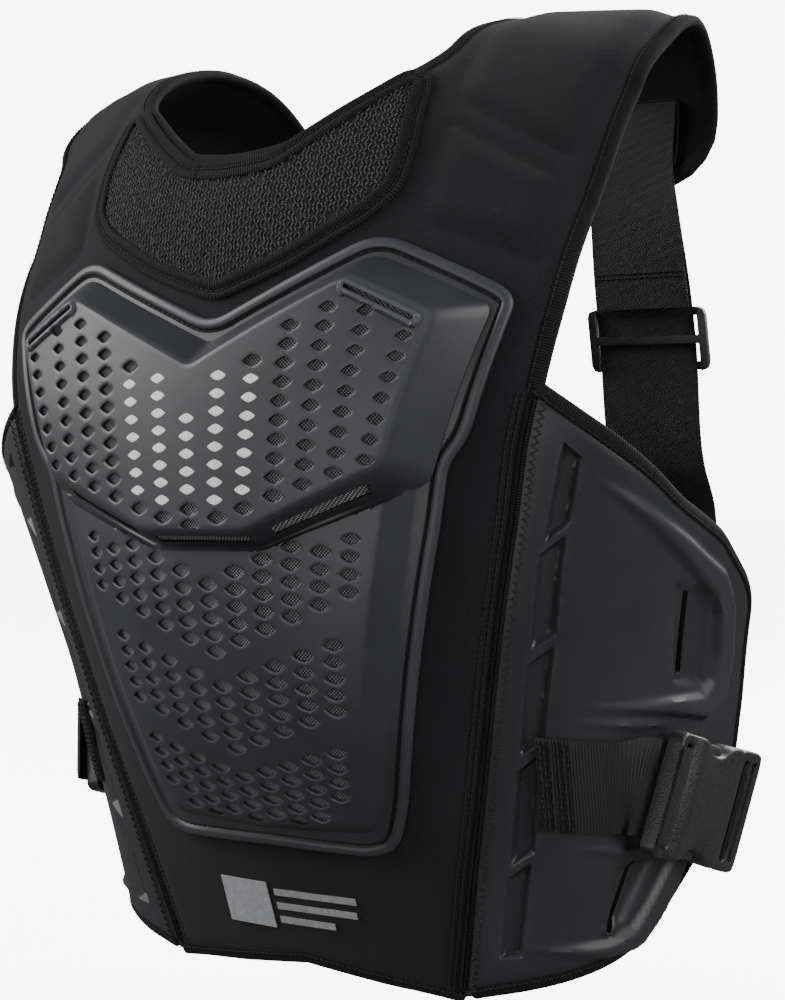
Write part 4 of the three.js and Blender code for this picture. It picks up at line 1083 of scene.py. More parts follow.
lower_backing_loop = rings(lower_foot, (1.2,))
backing("shield_mesh_upper_sheet", crest_line, plateau - upper_drop, "shield_mesh_upper")
backing("shield_mesh_lower_sheet", lower_backing_loop, flange_level - lower_drop, "shield_mesh_lower", raised)
vent_used, vent_numbers = np.unique(np.array(vent_faces), return_inverse=True)
vent_flat = wall_flat[vent_used] + np.array([0, vent_shift])
vent_level = wall_top[vent_used] - vent_drop
vent_triangles = vent_numbers.reshape(-1, 3)
vents = worn("vent_mesh", vent_flat, vent_triangles, vent_level, vent_level - backing_thickness, backing_mesh)
carried(vents, "backing_mesh")

# Chest field: small pale diamonds of satin ink, printed on the upper shell. They keep to the grid
# of the perforations, where the shell has no holes.
print_height, print_flat_share = 0.25, 0.9
mark_loops = perforations(pale_marks, *mark_size)
mark_points, mark_faces, mark_flat = [], [], []
for loop in mark_loops:
    start = sum(len(points) for points in mark_points)
    centre = loop.mean(axis=0)
    inner = centre + (loop - centre) * print_flat_share
    flat = np.vstack([loop, inner, centre[None]])
    count = len(loop)
    heights = np.concatenate([np.full(count, plateau), np.full(count + 1, plateau + print_height)])
    for k in range(count):
        following = (k + 1) % count
        mark_faces.append([start + k, start + following, start + count + following, start + count + k])
        mark_faces.append([start + count + k, start + count + following, start + 2 * count])
    mark_faces.append([start + k for k in range(count)][::-1])
    mark_points.append(on_body(flat, heights))
    mark_flat.append(flat)


def print_finish():
    finish = Finish("pale print")
    worn_share = finish.spread(finish.noise(420, 3), 0.3, 0.7)
    colour = finish.between((0.66, 0.66, 0.68), (0.82, 0.82, 0.84), worn_share)
    bump = finish.relief(finish.noise(1500), 0.0001, 0.4)
    return finish.done(Base_Color=colour, Roughness=0.42, Normal=bump)


marks = put("chest_marks", np.vstack(mark_points), mark_faces, print_finish(), np.vstack(mark_flat), 20)
carried(marks, "shield_plastic")

# Side wings: moulded foam sheets sewn along the panel's sides and bent round the flanks.
# Five slanted hollows run beside the seam; raised brackets frame two webbing slots.
wing_reach, wing_thickness, wing_fall = 160, 6, 1.6
hollow_depth, hollow_slope, pocket_depth, pocket_slope, pocket_floor = 3.3, 2.3, 3.0, 6, 3.2
lip_rise, lip_at, lip_half = 0.8, 1.0, 1.2


def on_wing(reach, length, *radius):
    v = -length * front_length
    return (float(side_at(v)) + 2 * gap + reach * wing_reach, v, *radius)


wing_corners = [(u + 2 * gap, v) for u, v in side_edge] + [on_wing(*shares) for shares in [
    (0.06, 0.992, 4), (0.275, 0.976, 8), (0.44, 0.963, 8), (0.62, 0.945, 10), (0.79, 0.906, 10),
    (0.98, 0.86, 10), (1.075, 0.794, 10), (1.09, 0.731, 10), (1.06, 0.644, 8), (1.0, 0.624, 8),
    (0.79, 0.586, 10), (0.5, 0.559, 10), (0.34, 0.53, 8), (0.2, 0.506, 8),
]]
wing_loop = finer(rounded(wing_corners))
hollow_corners = [
    [(171, -301), (179, -308), (172, -338), (159, -348)],
    [(170, -342), (157, -352), (148, -398), (161, -390)],
    [(160, -394), (146, -404), (135, -452), (148, -444)],
    [(146, -449), (133, -459), (121, -512), (134, -504)],
    [(132, -508), (119, -518), (109, -563), (120, -562)],
]
hollows = [finer(rounded([(u, v, 1.5) for u, v in corners]), 2) for corners in hollow_corners]
# each bracket runs through points (u, v, half width)
brackets = [
    [(184, -318, 0.8), (222, -343, 5), (252, -360, 7.5), (268, -368, 8.5), (276, -382, 9.5),
     (276, -405, 9.5), (270, -424, 9.0), (256, -433, 7.5), (222, -430, 5), (172, -427, 0.8)],
    [(236, -505, 5), (214, -526, 8), (196, -543, 8.5), (180, -556, 8), (160, -559, 5), (124, -557, 0.8)],
    [(160, -434, 0.6), (196, -438, 2.6), (232, -440, 0.6)],
    [(150, -502, 0.6), (176, -506, 2.6), (200, -508, 0.6)],
]
pockets = [
    finer(rounded([(226, -364, 4), (258, -369, 4), (263, -380, 4), (258, -424, 4), (226, -420, 4)])),
    finer(rounded([(206, -510, 3), (172, -548, 4), (158, -548, 4), (170, -512, 4)])),
]
wing_slots = [
    finer(rounded([(238.5, -371, 1.5), (243.5, -371.5, 1.5), (238, -414, 1.5), (233, -413.5, 1.5)]), 2),
    finer(rounded([(181.6, -511.5, 0.8), (184, -512.5, 0.8), (162.4, -550.4, 0.8), (160, -549.2, 0.8)]), 2),
]


def bracket_height(flat, line, rise=3.8, full_width=6, spill=1.3, slope=4.2):
    """A rounded ridge along a line, as wide as its points say and lower where it is narrow."""
    best = np.zeros(len(flat))
    for (*a, a_width), (*b, b_width) in zip(line, line[1:]):
        a, b = np.array(a, float), np.array(b, float)
        way = b - a
        share = np.clip(((flat - a) @ way) / (way @ way), 0, 1)
        away = np.linalg.norm(flat - a - share[:, None] * way, axis=1)
        width = a_width + (b_width - a_width) * share
        height = np.minimum(1, width / full_width) * rise
        best = np.maximum(best, height * ease((width + spill - away) / slope, 0.2))
    return best


wing_grid = grid_points(wing_loop, 2.2, 1.3)
for loop in hollows:
    wing_grid = wing_grid[distance(wing_grid, loop) > 1.4]
wing_points = np.vstack([
    wing_grid, rings(wing_loop, (0.7, 1.5)),
    *(rings(loop, (0, 0.8, 1.6, 2.4)) for loop in hollows),
    *(offset(loop, step) for loop in wing_slots for step in (0.8, 1.8)),
])
wing_points = wing_points[within(wing_points, wing_loop)]
wing_flat, wing_faces = laid(wing_loop, wing_slots, wing_points)
wing_edge = distance(wing_flat, wing_loop)
wing_top = wing_thickness - wing_fall + wing_fall * ease(wing_edge / 6)
ridges = np.max([bracket_height(wing_flat, line) for line in brackets], axis=0)
# painted highlights: the brackets' ridges are coloured paler
wing_rim = ease(ridges / 4) * 0.35
wing_top += ridges
for loop in hollows:
    inside, edge = within(wing_flat, loop), distance(wing_flat, loop)
    wing_top -= np.where(inside, hollow_depth * ease(edge / hollow_slope, 0.5), 0)
    # painted highlights on the edges beside each hollow
    wing_rim = np.maximum(wing_rim, np.where(inside, 0, 0.6 * (1 - ease(edge / 2.0))))
for loop in pockets:
    inside, edge = within(wing_flat, loop), distance(wing_flat, loop)
    sunk = np.minimum(pocket_depth, wing_top - pocket_floor) * ease(edge / pocket_slope)
    wing_top -= np.where(inside, sunk, 0)
for loop in wing_slots:
    edge = distance(wing_flat, loop)
    wing_top += lip_rise * np.exp(-(((edge - lip_at) / lip_half) ** 2))


def foam_finish():
    """Moulded foam skin: matte charcoal with a leathery grain, soft cloudy patches, and painted highlights
    where the rim attribute is set.
    """
    finish = Finish("moulded foam")
    cloudy = finish.noise(11, 4, 0.55)
    grain = finish.noise(1100, 3, 0.6)
    # rim: painted highlights on the wing's ridges and hollow edges, making the colour paler
    rim = finish.node("ShaderNodeAttribute", {"attribute_name": "rim"}, {}, "Fac")
    share = finish.spread(cloudy * 0.8 + grain * 0.25 + rim * 0.5, 0.25, 1.3)
    rough = finish.spread(cloudy + grain * 0.5, 0.4, 1.1, 0.4, 0.56)
    bump = finish.relief(grain, 0.00016, 0.5)
    colour = finish.between((0.011, 0.0114, 0.0134), (0.039, 0.0403, 0.046), share)
    return finish.done(Base_Color=colour, Roughness=rough, Normal=bump)


wing_foam = foam_finish()


def other_side(piece, name):
    """A copy of a piece for the wearer's right, turned over so that its faces point outwards."""
    mesh = piece.data.copy()
    shape = bmesh.new()
    shape.from_mesh(mesh)
    for vertex in shape.verts:
        vertex.co.x = -vertex.co.x
    bmesh.ops.reverse_faces(shape, faces=shape.faces)
    shape.to_mesh(mesh)
    shape.free()
    mesh.name = name
    twin = bpy.data.objects.new(name, mesh)
    bpy.context.scene.collection.objects.link(twin)
    return twin


def both_sides(piece, slot, *nodes):
    """Carries a left piece and its right twin; names and nodes end in _left and _right."""
    twin = other_side(piece, piece.name.replace("_left", "_right"))
    carried(piece, slot, *nodes)
    carried(twin, slot, *(node.replace("_left", "_right") for node in nodes))
    return piece, twin


wing_under = np.zeros(len(wing_flat))
wing = worn("side_wing_foam_left", wing_flat, wing_faces, wing_top, wing_under, wing_foam, rim=wing_rim)
for piece in both_sides(wing, "wing_foam", "side_wing_left"):
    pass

outer_path = stretch_of(wing_loop, (hem_corner[0] + 5, hem_corner[1] + 3), on_wing(0.0, 0.472)[:2])
low_profile = [
    (-3.8, 5.2), (-3.6, 5.9), (-1.6, 6.0), (0.4, 5.6), (2.0, 4.8), (3.2, 3.4), (3.4, 2.2), (3.0, 1.0),
    (1.8, -0.2), (0, -0.7), (-3.6, -0.8), (-3.8, 0.0), (-1.6, 1.4), (-0.2, 2.6), (-1.6, 3.8),
][::-1]
wing_binding = tape("wing_binding_tape_left", outer_path, low_profile, tape_cloth)
both_sides(wing_binding, "binding", "wing_binding_left")
wing_seam = seam_on_body(inset_path(outer_path, 2.4), 6.1)

# Side seams: a corded seam joins each wing to the front panel. Grey thread is overlocked in a zigzag
# on the wing's side of it, and two rows of black lock-stitch run on the cloth's side.
side_line = [(float(side_at(v)), v) for v in np.linspace(armpit[1] - 3, hem_corner[1] + 6, 60)]
side_path = finer(np.array(side_line), closed=False)
ridge_profile = [
    (-2.6, 4.2), (-1.6, 5.4), (-0.7, 5.9), (0, 5.0), (0.7, 5.9), (1.8, 5.3), (2.8, 4.2), (0, 2.8),
]
both_sides(tape("side_seam_left", side_path[::-1], ridge_profile[::-1], tape_cloth), "binding")


def sew_both(name, seams, slot, material, **sizes):
    """Sews the left seams and the same seams on the wearer's right, as one piece."""
    mirror = np.array([-1, 1, 1])
    sew(name, [*seams, *((line * mirror, out * mirror) for line, out in seams)], slot, material, **sizes)


grey_thread = thread_finish("grey thread", (0.007, 0.007, 0.008), (0.026, 0.026, 0.029))
zigzag_sizes = {"pitch": 1.9, "length": 4.0, "thread": 0.7, "rise": 0.9, "slant": 1.05}
sew_both("side_zigzag", [seam_on_body(side_path + (5.4, 0), 6.15)], "binding", grey_thread, **zigzag_sizes)
beside = [seam_on_body(side_path - (step, 0), level) for step, level in ((4.6, 5.4), (7.4, 5.9))]
sew_both("side_stitches", [*beside, wing_seam], "binding", black_thread, pitch=3.0, length=2.3, thread=0.65)


# Waist webbing: ribbed 50 mm nylon. It is stitched flat to the wing in rows of black thread, and
# turns round the bar at the near end of the buckle's socket.
def webbing_finish(name, pitch, dark, light, slope=0.0):
    """Woven strap: ribs across it, slanted by the slope, and finer threads between them."""
    finish = Finish(name)
    across, along = finish.pattern()
    turn = 2 * math.pi / pitch
    ribs = ((along + across * slope) * turn).math("SINE")
    threads = (across * (turn * 1.7)).math("SINE") * (along * (turn * 1.7)).math("SINE")
    fluff = finish.noise(1300, 2)
    share = finish.spread(ribs * 0.5 + threads * 0.2 + fluff * 0.8, -0.4, 1.3)
    bump = finish.relief(ribs + threads * 0.35 + fluff * 0.4, 0.0005, 0.9)
    colour = finish.between(dark, light, share)
    return finish.done(Base_Color=colour, Roughness=0.62, Specular_IOR_Level=0.4, Normal=bump)


def smooth_line(points, count):
    """A curve through the points, in count evenly shared steps."""
    points = np.array(points, float)
    return along_knots(points, np.linspace(0, len(points) - 1, count))


def band(name, stations, width, thickness, material, rings_per=8, columns=8):
    """A strap through stations, each a centre and a direction across it, in millimetres."""
    count = (len(stations) - 1) * rings_per + 1
    middle = smooth_line([at for at, _ in stations], count)
    across = smooth_line([way for _, way in stations], count)
    across /= np.linalg.norm(across, axis=1, keepdims=True)
    ahead = np.gradient(middle, axis=0)
    out = np.cross(ahead, across)
    out /= np.linalg.norm(out, axis=1, keepdims=True)
    lengths = np.concatenate([[0], np.cumsum(np.linalg.norm(np.diff(middle, axis=0), axis=1))])
    shares = np.linspace(-0.5, 0.5, columns + 1)
    levels = thickness / 2 * np.where(abs(shares) > 0.49, 0.35, 1.0)
    face = np.stack([shares * width, levels], axis=1)
    profile = np.vstack([face, (face * (1, -1))[::-1]])
    turn = len(profile)
    points = middle[:, None] + across[:, None] * profile[None, :, :1] + out[:, None] * profile[None, :, 1:]
    flat = np.stack([np.tile(profile[:, 0], count), np.repeat(lengths, turn)], axis=1)
    piece = put(name, points.reshape(-1, 3) / 1000, tube_faces(count, turn), material, flat, 50)
    shape = bmesh.new()
    shape.from_mesh(piece.data)
    bmesh.ops.recalc_face_normals(shape, faces=shape.faces)
    shape.to_mesh(piece.data)
    shape.free()
    return piece, (middle, across, out)


socket_length, socket_width, socket_thickness, plug_length = 62, 62, 13, 24
webbing_width, webbing_thickness, buckle_clearance, buckle_lift = 50, 1.8, 2.5, 4
buckle_u, buckle_v, *_ = on_wing(0.66, 0.815)
strap_slope = math.radians(-14)
buckle_patch = [(buckle_u, buckle_v), (buckle_u + 1, buckle_v), (buckle_u, buckle_v + 1)]
patch_at, patch_beside, patch_above = on_body(buckle_patch, 0) * 1000
along_u, along_v = patch_beside - patch_at, patch_above - patch_at
buckle_out = np.cross(along_u, along_v)
buckle_out /= np.linalg.norm(buckle_out)
along_u /= np.linalg.norm(along_u)
buckle_along = along_u * math.cos(strap_slope) + np.cross(buckle_out, along_u) * math.sin(strap_slope)
buckle_across = np.cross(buckle_out, buckle_along)
buckle_level = wing_thickness + buckle_clearance + buckle_lift
buckle_centre = on_body([(buckle_u, buckle_v)], buckle_level)[0] * 1000


def on_buckle(s, t, n):
    """A point s along the buckle from the socket's bar, t across it and n out from its back."""
    return buckle_centre + buckle_along * (s - socket_length / 2) + buckle_across * t + buckle_out * n


def station(flat, step, height):
    """The point of a strap over a place on the pattern, and the way across the strap there."""
    low, high = on_body([np.array(flat) - step, np.array(flat) + step], height) * 1000
    return (low + high) / 2, (high - low) / np.linalg.norm(high - low)


webbing_cloth = webbing_finish("nylon webbing", 0.0016, (0.0045, 0.0046, 0.0052), (0.03, 0.031, 0.034))
sewn_slope = math.radians(-6)
sewn_step = np.array([-math.sin(sewn_slope), math.cos(sewn_slope)])
webbing_level = wing_thickness + webbing_thickness / 2 + gap
landings = [(141, -466, 0), (150, -467, 0), (159, -467.8, 0.3), (168, -468.6, 1.0), (177, -469.4, 1.9)]
sewn = [station((u, v), sewn_step, webbing_level + lift) for u, v, lift in landings]
bar_top = socket_thickness - 3.2
round_bar = [(-6, -3.2), (4, -2.2), (8, bar_top / 2), (4, bar_top + 2.2), (-4, bar_top + 1.7)]
webbing_stations = [*sewn, *((on_buckle(s, 0, n), buckle_across) for s, n in round_bar)]
worn_width, thread_lift, row_points = webbing_width - 2, 0.15, 24
webbing, (middle, across, out) = band(
    "waist_webbing_band_left", webbing_stations, worn_width, webbing_thickness, webbing_cloth, columns=10
)
both_sides(webbing, "webbing", "waist_webbing_left")


def cross_row(centre, way, out, half):
    """A row of stitches across a strap, in metres, and the direction that the strap faces there."""
    line = centre + way * np.linspace(-half, half, row_points)[:, None]
    return line / 1000, np.repeat(out[None], row_points, axis=0)


facing = out * np.sign(np.dot(out[4], buckle_out))
box_level = webbing_thickness / 2 + thread_lift
box_rows = [
    cross_row(middle[i] + facing[i] * box_level, across[i], facing[i], 22) for i in (1, 3, 5, 8, 10, 12)
]
box_sizes = {"pitch": 2.6, "length": 2.3, "thread": 0.8, "rise": 1.0, "slant": 0.35}
sew_both("webbing_stitches", box_rows, "webbing", black_thread, **box_sizes)

# Side-release buckle: a moulded socket with finger scallops, and a plug whose frame shows at its end.
# Both are pebbled black plastic and stand just off the wing.
def pebbled_finish():
    finish = Finish("pebbled plastic")
    cells = finish.node("ShaderNodeTexVoronoi", {}, {"Vector": finish.place(), "Scale": 1300.0}, "Distance")
    speckle = finish.noise(700, 3, 0.6)
    colour = finish.between((0.007, 0.0072, 0.008), (0.028, 0.0285, 0.031), finish.spread(speckle, 0.3, 0.75))
    bump = finish.relief(cells, 0.0002, 0.6)
    rough = finish.spread(speckle, 0.3, 0.8, 0.34, 0.5)
    return finish.done(Base_Color=colour, Roughness=rough, Normal=bump)


pebbled = pebbled_finish()


def buckle_place(flat, height):
    """Metres, for points along and across the buckle and heights off its back."""
    height = np.broadcast_to(height, (len(flat),))[:, None]
    return on_buckle(flat[:, :1], flat[:, 1:], height) / 1000


def bar_window(start, width, half):
    """A rounded window across the buckle, for a strap to pass through."""
    corners = [(start, -half, 2), (start + width, -half, 2), (start + width, half, 2), (start, half, 2)]
    return finer(rounded(corners), 2)


def round_over(edge, radius):
    """1 at an edge, falling to 0 a radius away from it along a quarter circle."""
    return 1 - np.sqrt(np.clip(1 - (1 - np.clip(edge / radius, 0, 1)) ** 2, 0, 1))


socket_half = socket_width / 2
socket_side = [
    (0, 3, 3), (4, 0, 4), (23, 0.6, 6), (30, 7, 6), (42, 7.4, 6), (50, 0.4, 5), (61, 0.2, 3), (62, 2.4, 2),
]
socket_corners = [(s, -socket_half + inset, radius) for s, inset, radius in socket_side]
socket_loop = finer(rounded([*socket_corners, *((s, -t, r) for s, t, r in socket_corners[::-1])]), 1.6)
bar_slot = bar_window(5, 6, 25.5)
socket_points = np.vstack([
    grid_points(socket_loop, 2.6, 1.2), rings(socket_loop, (0.5, 1.1, 1.9)),
    offset(bar_slot, 0.6), offset(bar_slot, 1.4),
])
socket_points = socket_points[within(socket_points, socket_loop)]
socket_flat, socket_faces = laid(socket_loop, [bar_slot], socket_points)
socket_edge = np.minimum(distance(socket_flat, socket_loop), distance(socket_flat, bar_slot) * 1.6)
s, t = socket_flat.T
crown_rise, entry_drop, waist_depth, edge_round = 0.9, 3.4, 1.3, 1.5
crown = crown_rise * (1 - (t / socket_half) ** 2)
entry = entry_drop * (1 - ease((s - 10) / 9))
waist = waist_depth * np.exp(-(((s - 36) / 13) ** 2)) * ease((abs(t) - 8) / 16)
socket_top = socket_thickness - 1.0 + crown - entry - waist - edge_round * round_over(socket_edge, 1.9)
socket_low = 0.6 * (1 - ease(socket_edge / 1.5))


def buckle_part(name, flat, faces, top, low, *nodes, sharp=38):
    """A moulded part of the buckle, on both sides of the guard."""
    part = worn(name, flat, faces, top, low, pebbled, place=buckle_place, sharp=sharp)
    both_sides(part, "buckle_plastic", *nodes)


socket_levels = (socket_top, socket_low)
buckle_part(
    "buckle_socket_body_left", socket_flat, socket_faces, *socket_levels, "buckle_socket_left", sharp=40
)

prong_top, prong_low, prong_fall = 8.6, 4.4, 1.2
for label, side in (("low", -1), ("high", 1)):
    corners = [(26, 22, 3), (46, 22, 3), (44, 29, 4), (28, 29, 4)]
    loop = finer(rounded([(s, side * t, radius) for s, t, radius in corners]), 1.5)
    flat, faces = laid(loop, [], np.vstack([grid_points(loop, 2.2, 1.0), rings(loop, (0.8,))]))
    top = prong_top - prong_fall * (1 - ease(distance(flat, loop) / 1.6))
    buckle_part(f"buckle_prong_{label}_left", flat, faces, top, np.full(len(flat), prong_low))

plug_start, plug_end = socket_length + gap, socket_length + gap + plug_length
plug_side = [
    (plug_start, -socket_half + 1.2, 1), (plug_start + 4, -socket_half - 0.2, 3),
    (plug_end - 2, -socket_half - 0.6, 6), (plug_end, -socket_half + 4, 6),
]
plug_loop = finer(rounded([*plug_side, *((s, -t, r) for s, t, r in plug_side[::-1])]), 1.6)
plug_cuts = [bar_window(plug_start + place, 5.6, 25.6) for place in (4.5, 13.6)]
plug_points = np.vstack([
    grid_points(plug_loop, 2.4, 1.0), rings(plug_loop, (0.5, 1.2, 2.0)),
    *(offset(cut, 0.7) for cut in plug_cuts),
])
plug_points = plug_points[within(plug_points, plug_loop)]
plug_flat, plug_faces = laid(plug_loop, plug_cuts, plug_points)
cut_edge = np.minimum(*(distance(plug_flat, cut) for cut in plug_cuts))
plug_edge = np.minimum(distance(plug_flat, plug_loop), cut_edge * 1.4)
plug_top, plug_low = 10.9, 2.4
roll = edge_round * round_over(plug_edge, 1.8)
plug_levels = (plug_top - roll, plug_low + roll * 0.6)
buckle_part("buckle_plug_frame_left", plug_flat, plug_faces, *plug_levels, "buckle_plug_left", sharp=40)

# Waist elastic: a black twill band. It is looped through the plug's window, runs round the flank
# and lies on the outer face of the back panel.
back_half, back_height, back_top, back_depth, back_radius, back_thickness = 150, 200, -250, 115, 500, 8
back_rear = back_depth + back_thickness


def back_face(x):
    return back_rear - np.asarray(x) ** 2 / (2 * back_radius)


upright = np.array([0, 0, 1.0])
twill = ((0.004, 0.0041, 0.0046), (0.014, 0.0143, 0.016))
elastic_cloth = webbing_finish("twill elastic", 0.0015, *twill, slope=0.9)
plug_mid = (socket_thickness + webbing_thickness) / 2
plug_exit = on_buckle(socket_length + plug_length - 1.5, 0, plug_mid - 5.0)
elastic_level = back_top - 0.82 * back_height
landing = []
for share, off in ((0.93, 5), (0.8, 1.2), (0.62, 0.7), (0.4, 0.7)):
    x = share * back_half
    landing.append(np.array([x, float(back_face(x)) + webbing_thickness / 2 + off, elastic_level]))
flank_bulge = np.array([9, 9, 0])
turn_point = plug_exit + (landing[0] - plug_exit) * 0.5 + flank_bulge
halfway = buckle_across * 0.5 + upright * 0.5
in_plug = [(plug_start + 8.5, 8.6), (plug_start + 13, 10.2), (plug_start + 19, 7.2), (plug_end + 4, 4.5)]
elastic_stations = [
    *((on_buckle(s, 0, n), buckle_across) for s, n in in_plug),
    (turn_point, halfway / np.linalg.norm(halfway)),
    *((at, upright) for at in landing),
]
elastic, _ = band("waist_elastic_band_left", elastic_stations, worn_width, webbing_thickness, elastic_cloth)
both_sides(elastic, "webbing", "waist_elastic_left")

# Back panel: a plain pad across the waist, of foam in the same cloth as the front.
# It is quilted in three upright channels, and the ribbed tape binds its edge.
quilt_lines, quilt_depth, quilt_half, back_fall = (-52, 52), 1.8, 3.0, 2.6
back_corners = mirrored([
    (0, back_top - 12, 20), (0.5 * back_half, back_top - 8, 20), (0.9 * back_half, back_top, 14),
    (back_half, back_top - 0.25 * back_height, 20), (back_half, back_top - 0.7 * back_height, 30),
    (0.8 * back_half, back_top - back_height, 30), (0, back_top - 0.94 * back_height, 30),
])
back_loop = finer(rounded(back_corners), 3)


def on_back(flat, height):
    height = np.broadcast_to(height, (len(flat),))
    return np.stack([-flat[:, 0], back_face(flat[:, 0]) - back_thickness + height, flat[:, 1]], axis=1) / 1000


back_points = np.vstack([grid_points(back_loop, 4, 2), rings(back_loop, (0.8, 2, 4, 6))])
back_flat, back_faces = laid(back_loop, [], back_points)
back_edge = distance(back_flat, back_loop)
back_high = back_thickness - back_fall + back_fall * ease(back_edge / 10)
for x in quilt_lines:
    back_high -= quilt_depth * np.exp(-(((back_flat[:, 0] - x) / quilt_half) ** 2)) * ease(back_edge / 12)
back_low = 1.4 * (1 - ease(back_edge / 9))
back_panel = worn("back_panel_cloth", back_flat, back_faces, back_high, back_low, cloth, place=on_back)
carried(back_panel, "panel_cloth", "back_panel")
back_profile = [(step, level + 0.1) for step, level in fold_profile]
carried(tape("back_binding", back_loop, back_profile, tape_cloth, closed=True, place=on_back), "binding")

# Shoulder straps: black twill elastic, sewn to a cloth patch under each rear pad. They run down
# through a slider, where the loose end is folded back and stitched, onto the back panel.
strap_width, strap_thickness, patch_thickness = 52, 2, 1.6
anchor_u = strap_middle
patch_corners = [(-1, 0.55), (1, 0.55), (1, 0.9), (-1, 0.9)]
anchor_loop = finer(rounded([
    (anchor_u + side * strap_width / 2, share * rear_length, 4) for side, share in patch_corners
]), 3)
anchor_flat, anchor_faces = laid(anchor_loop, [], grid_points(anchor_loop, 5, 2))
anchor_top = np.full(len(anchor_flat), -gap)
anchor_under = anchor_top - patch_thickness
anchor_piece = worn("strap_anchor_patch_left", anchor_flat, anchor_faces, anchor_top, anchor_under, cloth)
both_sides(anchor_piece, "webbing", "strap_anchor_left")
under_anchor = -gap - patch_thickness - gap - strap_thickness / 2 - 0.6
strap_stations = [
    station((anchor_u, share * rear_length), np.array([1, 0]), under_anchor) for share in (0.55, 0.9)
]
release = strap_stations[1][0]
slider_level = -150
strap_x = release[0] + 3


def landing_y(x):
    return float(back_face(x)) + strap_thickness / 2 + 1


strap_axis = [
    ((strap_x, release[1] - 0.5, release[2] - 26), -2),
    ((strap_x + 2, release[1] + 12, slider_level), 16),
    ((strap_x + 3, release[1] + 22, back_top + 35), 8),
    ((strap_x + 3, landing_y(strap_x + 3) + 1, back_top + 6), -13),
    ((strap_x + 3, landing_y(strap_x + 3), back_top - 25), -14),
    ((strap_x + 3, landing_y(strap_x + 3), back_top - 60), -14),
]
strap_axis = [
    (np.array(at, float), np.array([math.cos(math.radians(turned)), math.sin(math.radians(turned)), 0]))
    for at, turned in strap_axis
]
strap_stations += strap_axis
strap, _ = band(
    "shoulder_strap_band_left", strap_stations, strap_width, strap_thickness, elastic_cloth, rings_per=12
)
both_sides(strap, "webbing", "shoulder_strap_left")
slider_across = strap_axis[1][1]
slider_down = strap_axis[2][0] - strap_axis[0][0]
slider_down /= np.linalg.norm(slider_down)
slider_out = np.cross(slider_across, slider_down)
slider_out /= np.linalg.norm(slider_out)
fold_stations = []
(upper_at, upper_way), (lower_at, lower_way) = strap_axis[:2]
for share, lift in ((0.42, 0.6), (0.52, 2.2), (0.62, 2.2), (0.74, 2.2)):
    at = upper_at + (lower_at - upper_at) * share
    way = upper_way + (lower_way - upper_way) * share
    fold_stations.append((at - slider_out * (strap_thickness + lift), way / np.linalg.norm(way)))
fold, (fold_middle, fold_across, _) = band(
    "strap_fold_band_left", fold_stations, strap_width - 2, strap_thickness, elastic_cloth
)
both_sides(fold, "webbing", "strap_fold_left")
fold_lift = slider_out * (strap_thickness / 2 + thread_lift)
fold_rows = [cross_row(fold_middle[i] - fold_lift, fold_across[i], -slider_out, 23) for i in (2, 5)]
sew_both("strap_stitches", fold_rows, "webbing", black_thread, pitch=2.8, length=2.3, thread=0.7)


# Sliders: ladder-lock frames of pebbled black plastic that the shoulder straps pass round.
# Each is the plain solid with its edges rounded off.
def softened(node, name, material, radius, slot, flat_angle=0.6):
    """A copy of a plain solid with its sharp edges rounded."""
    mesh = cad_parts[node].data.copy()
    shape = bmesh.new()
    shape.from_mesh(mesh)
    bmesh.ops.remove_doubles(shape, verts=shape.verts, dist=1e-5)
    bmesh.ops.dissolve_limit(shape, angle_limit=math.radians(1), verts=shape.verts, edges=shape.edges)
    closed_edges = (edge for edge in shape.edges if len(edge.link_faces) == 2)
    sharp_edges = [edge for edge in closed_edges if edge.calc_face_angle(0) > flat_angle]
    rounding = {"segments": 3, "profile": 0.5, "affect": "EDGES", "clamp_overlap": True}
    bmesh.ops.bevel(shape, geom=sharp_edges, offset=radius, **rounding)
    bmesh.ops.recalc_face_normals(shape, faces=shape.faces)
    shape.to_mesh(mesh)
    shape.free()
    mesh.materials.clear()
    mesh.materials.append(material)
    mesh.shade_smooth()
    mesh.set_sharp_from_angle(angle=math.radians(50))
    piece = bpy.data.objects.new(name, mesh)
    bpy.context.scene.collection.objects.link(piece)
    return carried(piece, slot, node)


for side in ("left", "right"):
    softened(f"strap_slider_{side}", f"strap_slider_frame_{side}", pebbled, 0.0009, "buckle_plastic")

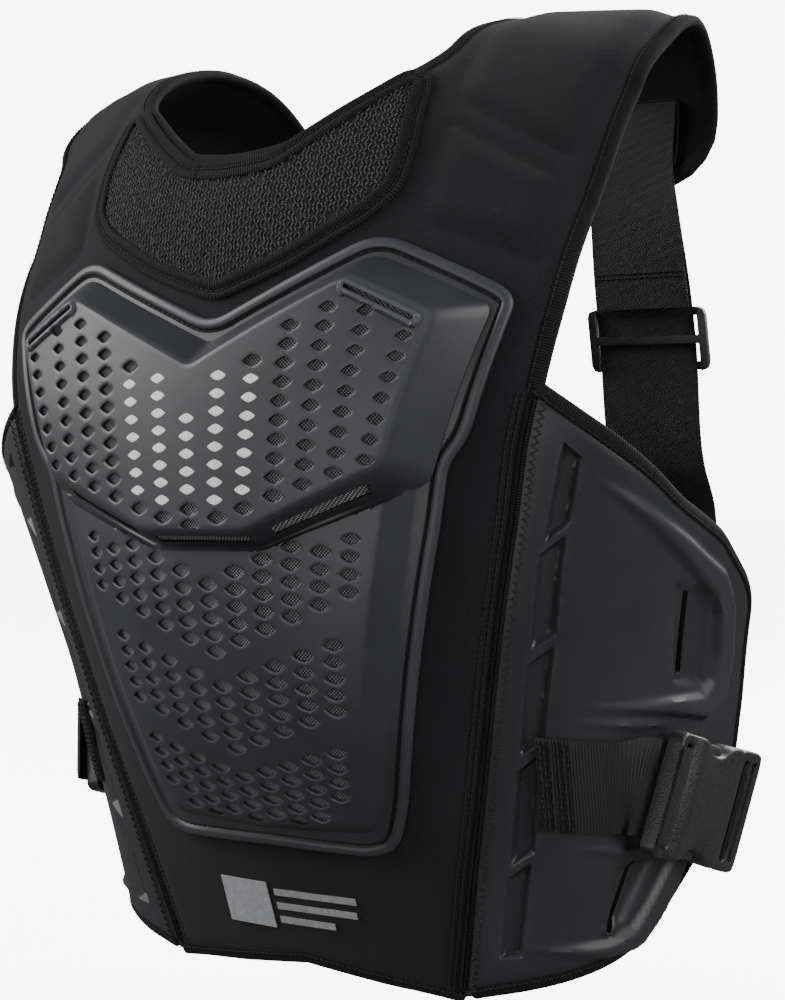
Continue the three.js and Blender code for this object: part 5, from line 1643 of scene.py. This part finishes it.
# Hem label: a small pale woven patch, left blank and sewn flat on the cloth over the hem.
# Three plain bars are printed on the cloth beside it.
label_u, label_v = -0.31 * hem_corner[0], -0.928 * front_length
half_width, half_height, label_thickness = 15, 13.5, 0.5


def label_box(left, low, right, high):
    """The corners of a box on the pattern, measured from the middle of the label."""
    corners = ((left, low), (right, low), (right, high), (left, high))
    return np.array([(label_u + u, label_v + v) for u, v in corners], float)


label_loop = finer(label_box(-half_width, -half_height, half_width, half_height), 2)
label_flat, label_faces = laid(label_loop, [], grid_points(label_loop, 2.5, 1))
label_level = np.full(len(label_flat), cloth_level + label_thickness)


def label_finish():
    finish = Finish("label weave")
    across, along = finish.pattern()
    threads = (across * 9000.0).math("SINE") * (along * 9000.0).math("SINE")
    share = finish.spread(threads * 0.3 + finish.noise(300, 3), 0.2, 0.9)
    colour = finish.between((0.26, 0.265, 0.275), (0.42, 0.425, 0.44), share)
    return finish.done(Base_Color=colour, Roughness=0.7, Normal=finish.relief(threads, 0.0002, 0.6))


label_under = label_level - label_thickness
label = worn("hem_label_patch", label_flat, label_faces, label_level, label_under, label_finish())
carried(label, "label", "hem_label")
bar_start, bar_height, bar_low, bar_high = 19, 4.0, cloth_level + 0.4, cloth_level + 0.62
box_quads = [(3, 2, 1, 0), (4, 5, 6, 7), (0, 1, 5, 4), (1, 2, 6, 5), (2, 3, 7, 6), (3, 0, 4, 7)]
bar_points, bar_faces, bar_flat = [], [], []
for bar_foot, bar_length in ((6.6, 48), (-1.6, 47), (-9.8, 33)):
    start = 8 * len(bar_points)
    flat = label_box(bar_start, bar_foot, bar_start + bar_length, bar_foot + bar_height)
    bar_points.append(np.vstack([on_body(flat, bar_low), on_body(flat, bar_high)]))
    bar_flat += [flat, flat]
    bar_faces += [[start + k for k in quad] for quad in box_quads]
label_print = thread_finish("label bars", (0.2, 0.2, 0.21), (0.34, 0.34, 0.35))
carried(put("label_bars", np.vstack(bar_points), bar_faces, label_print, np.vstack(bar_flat), 20), "label")
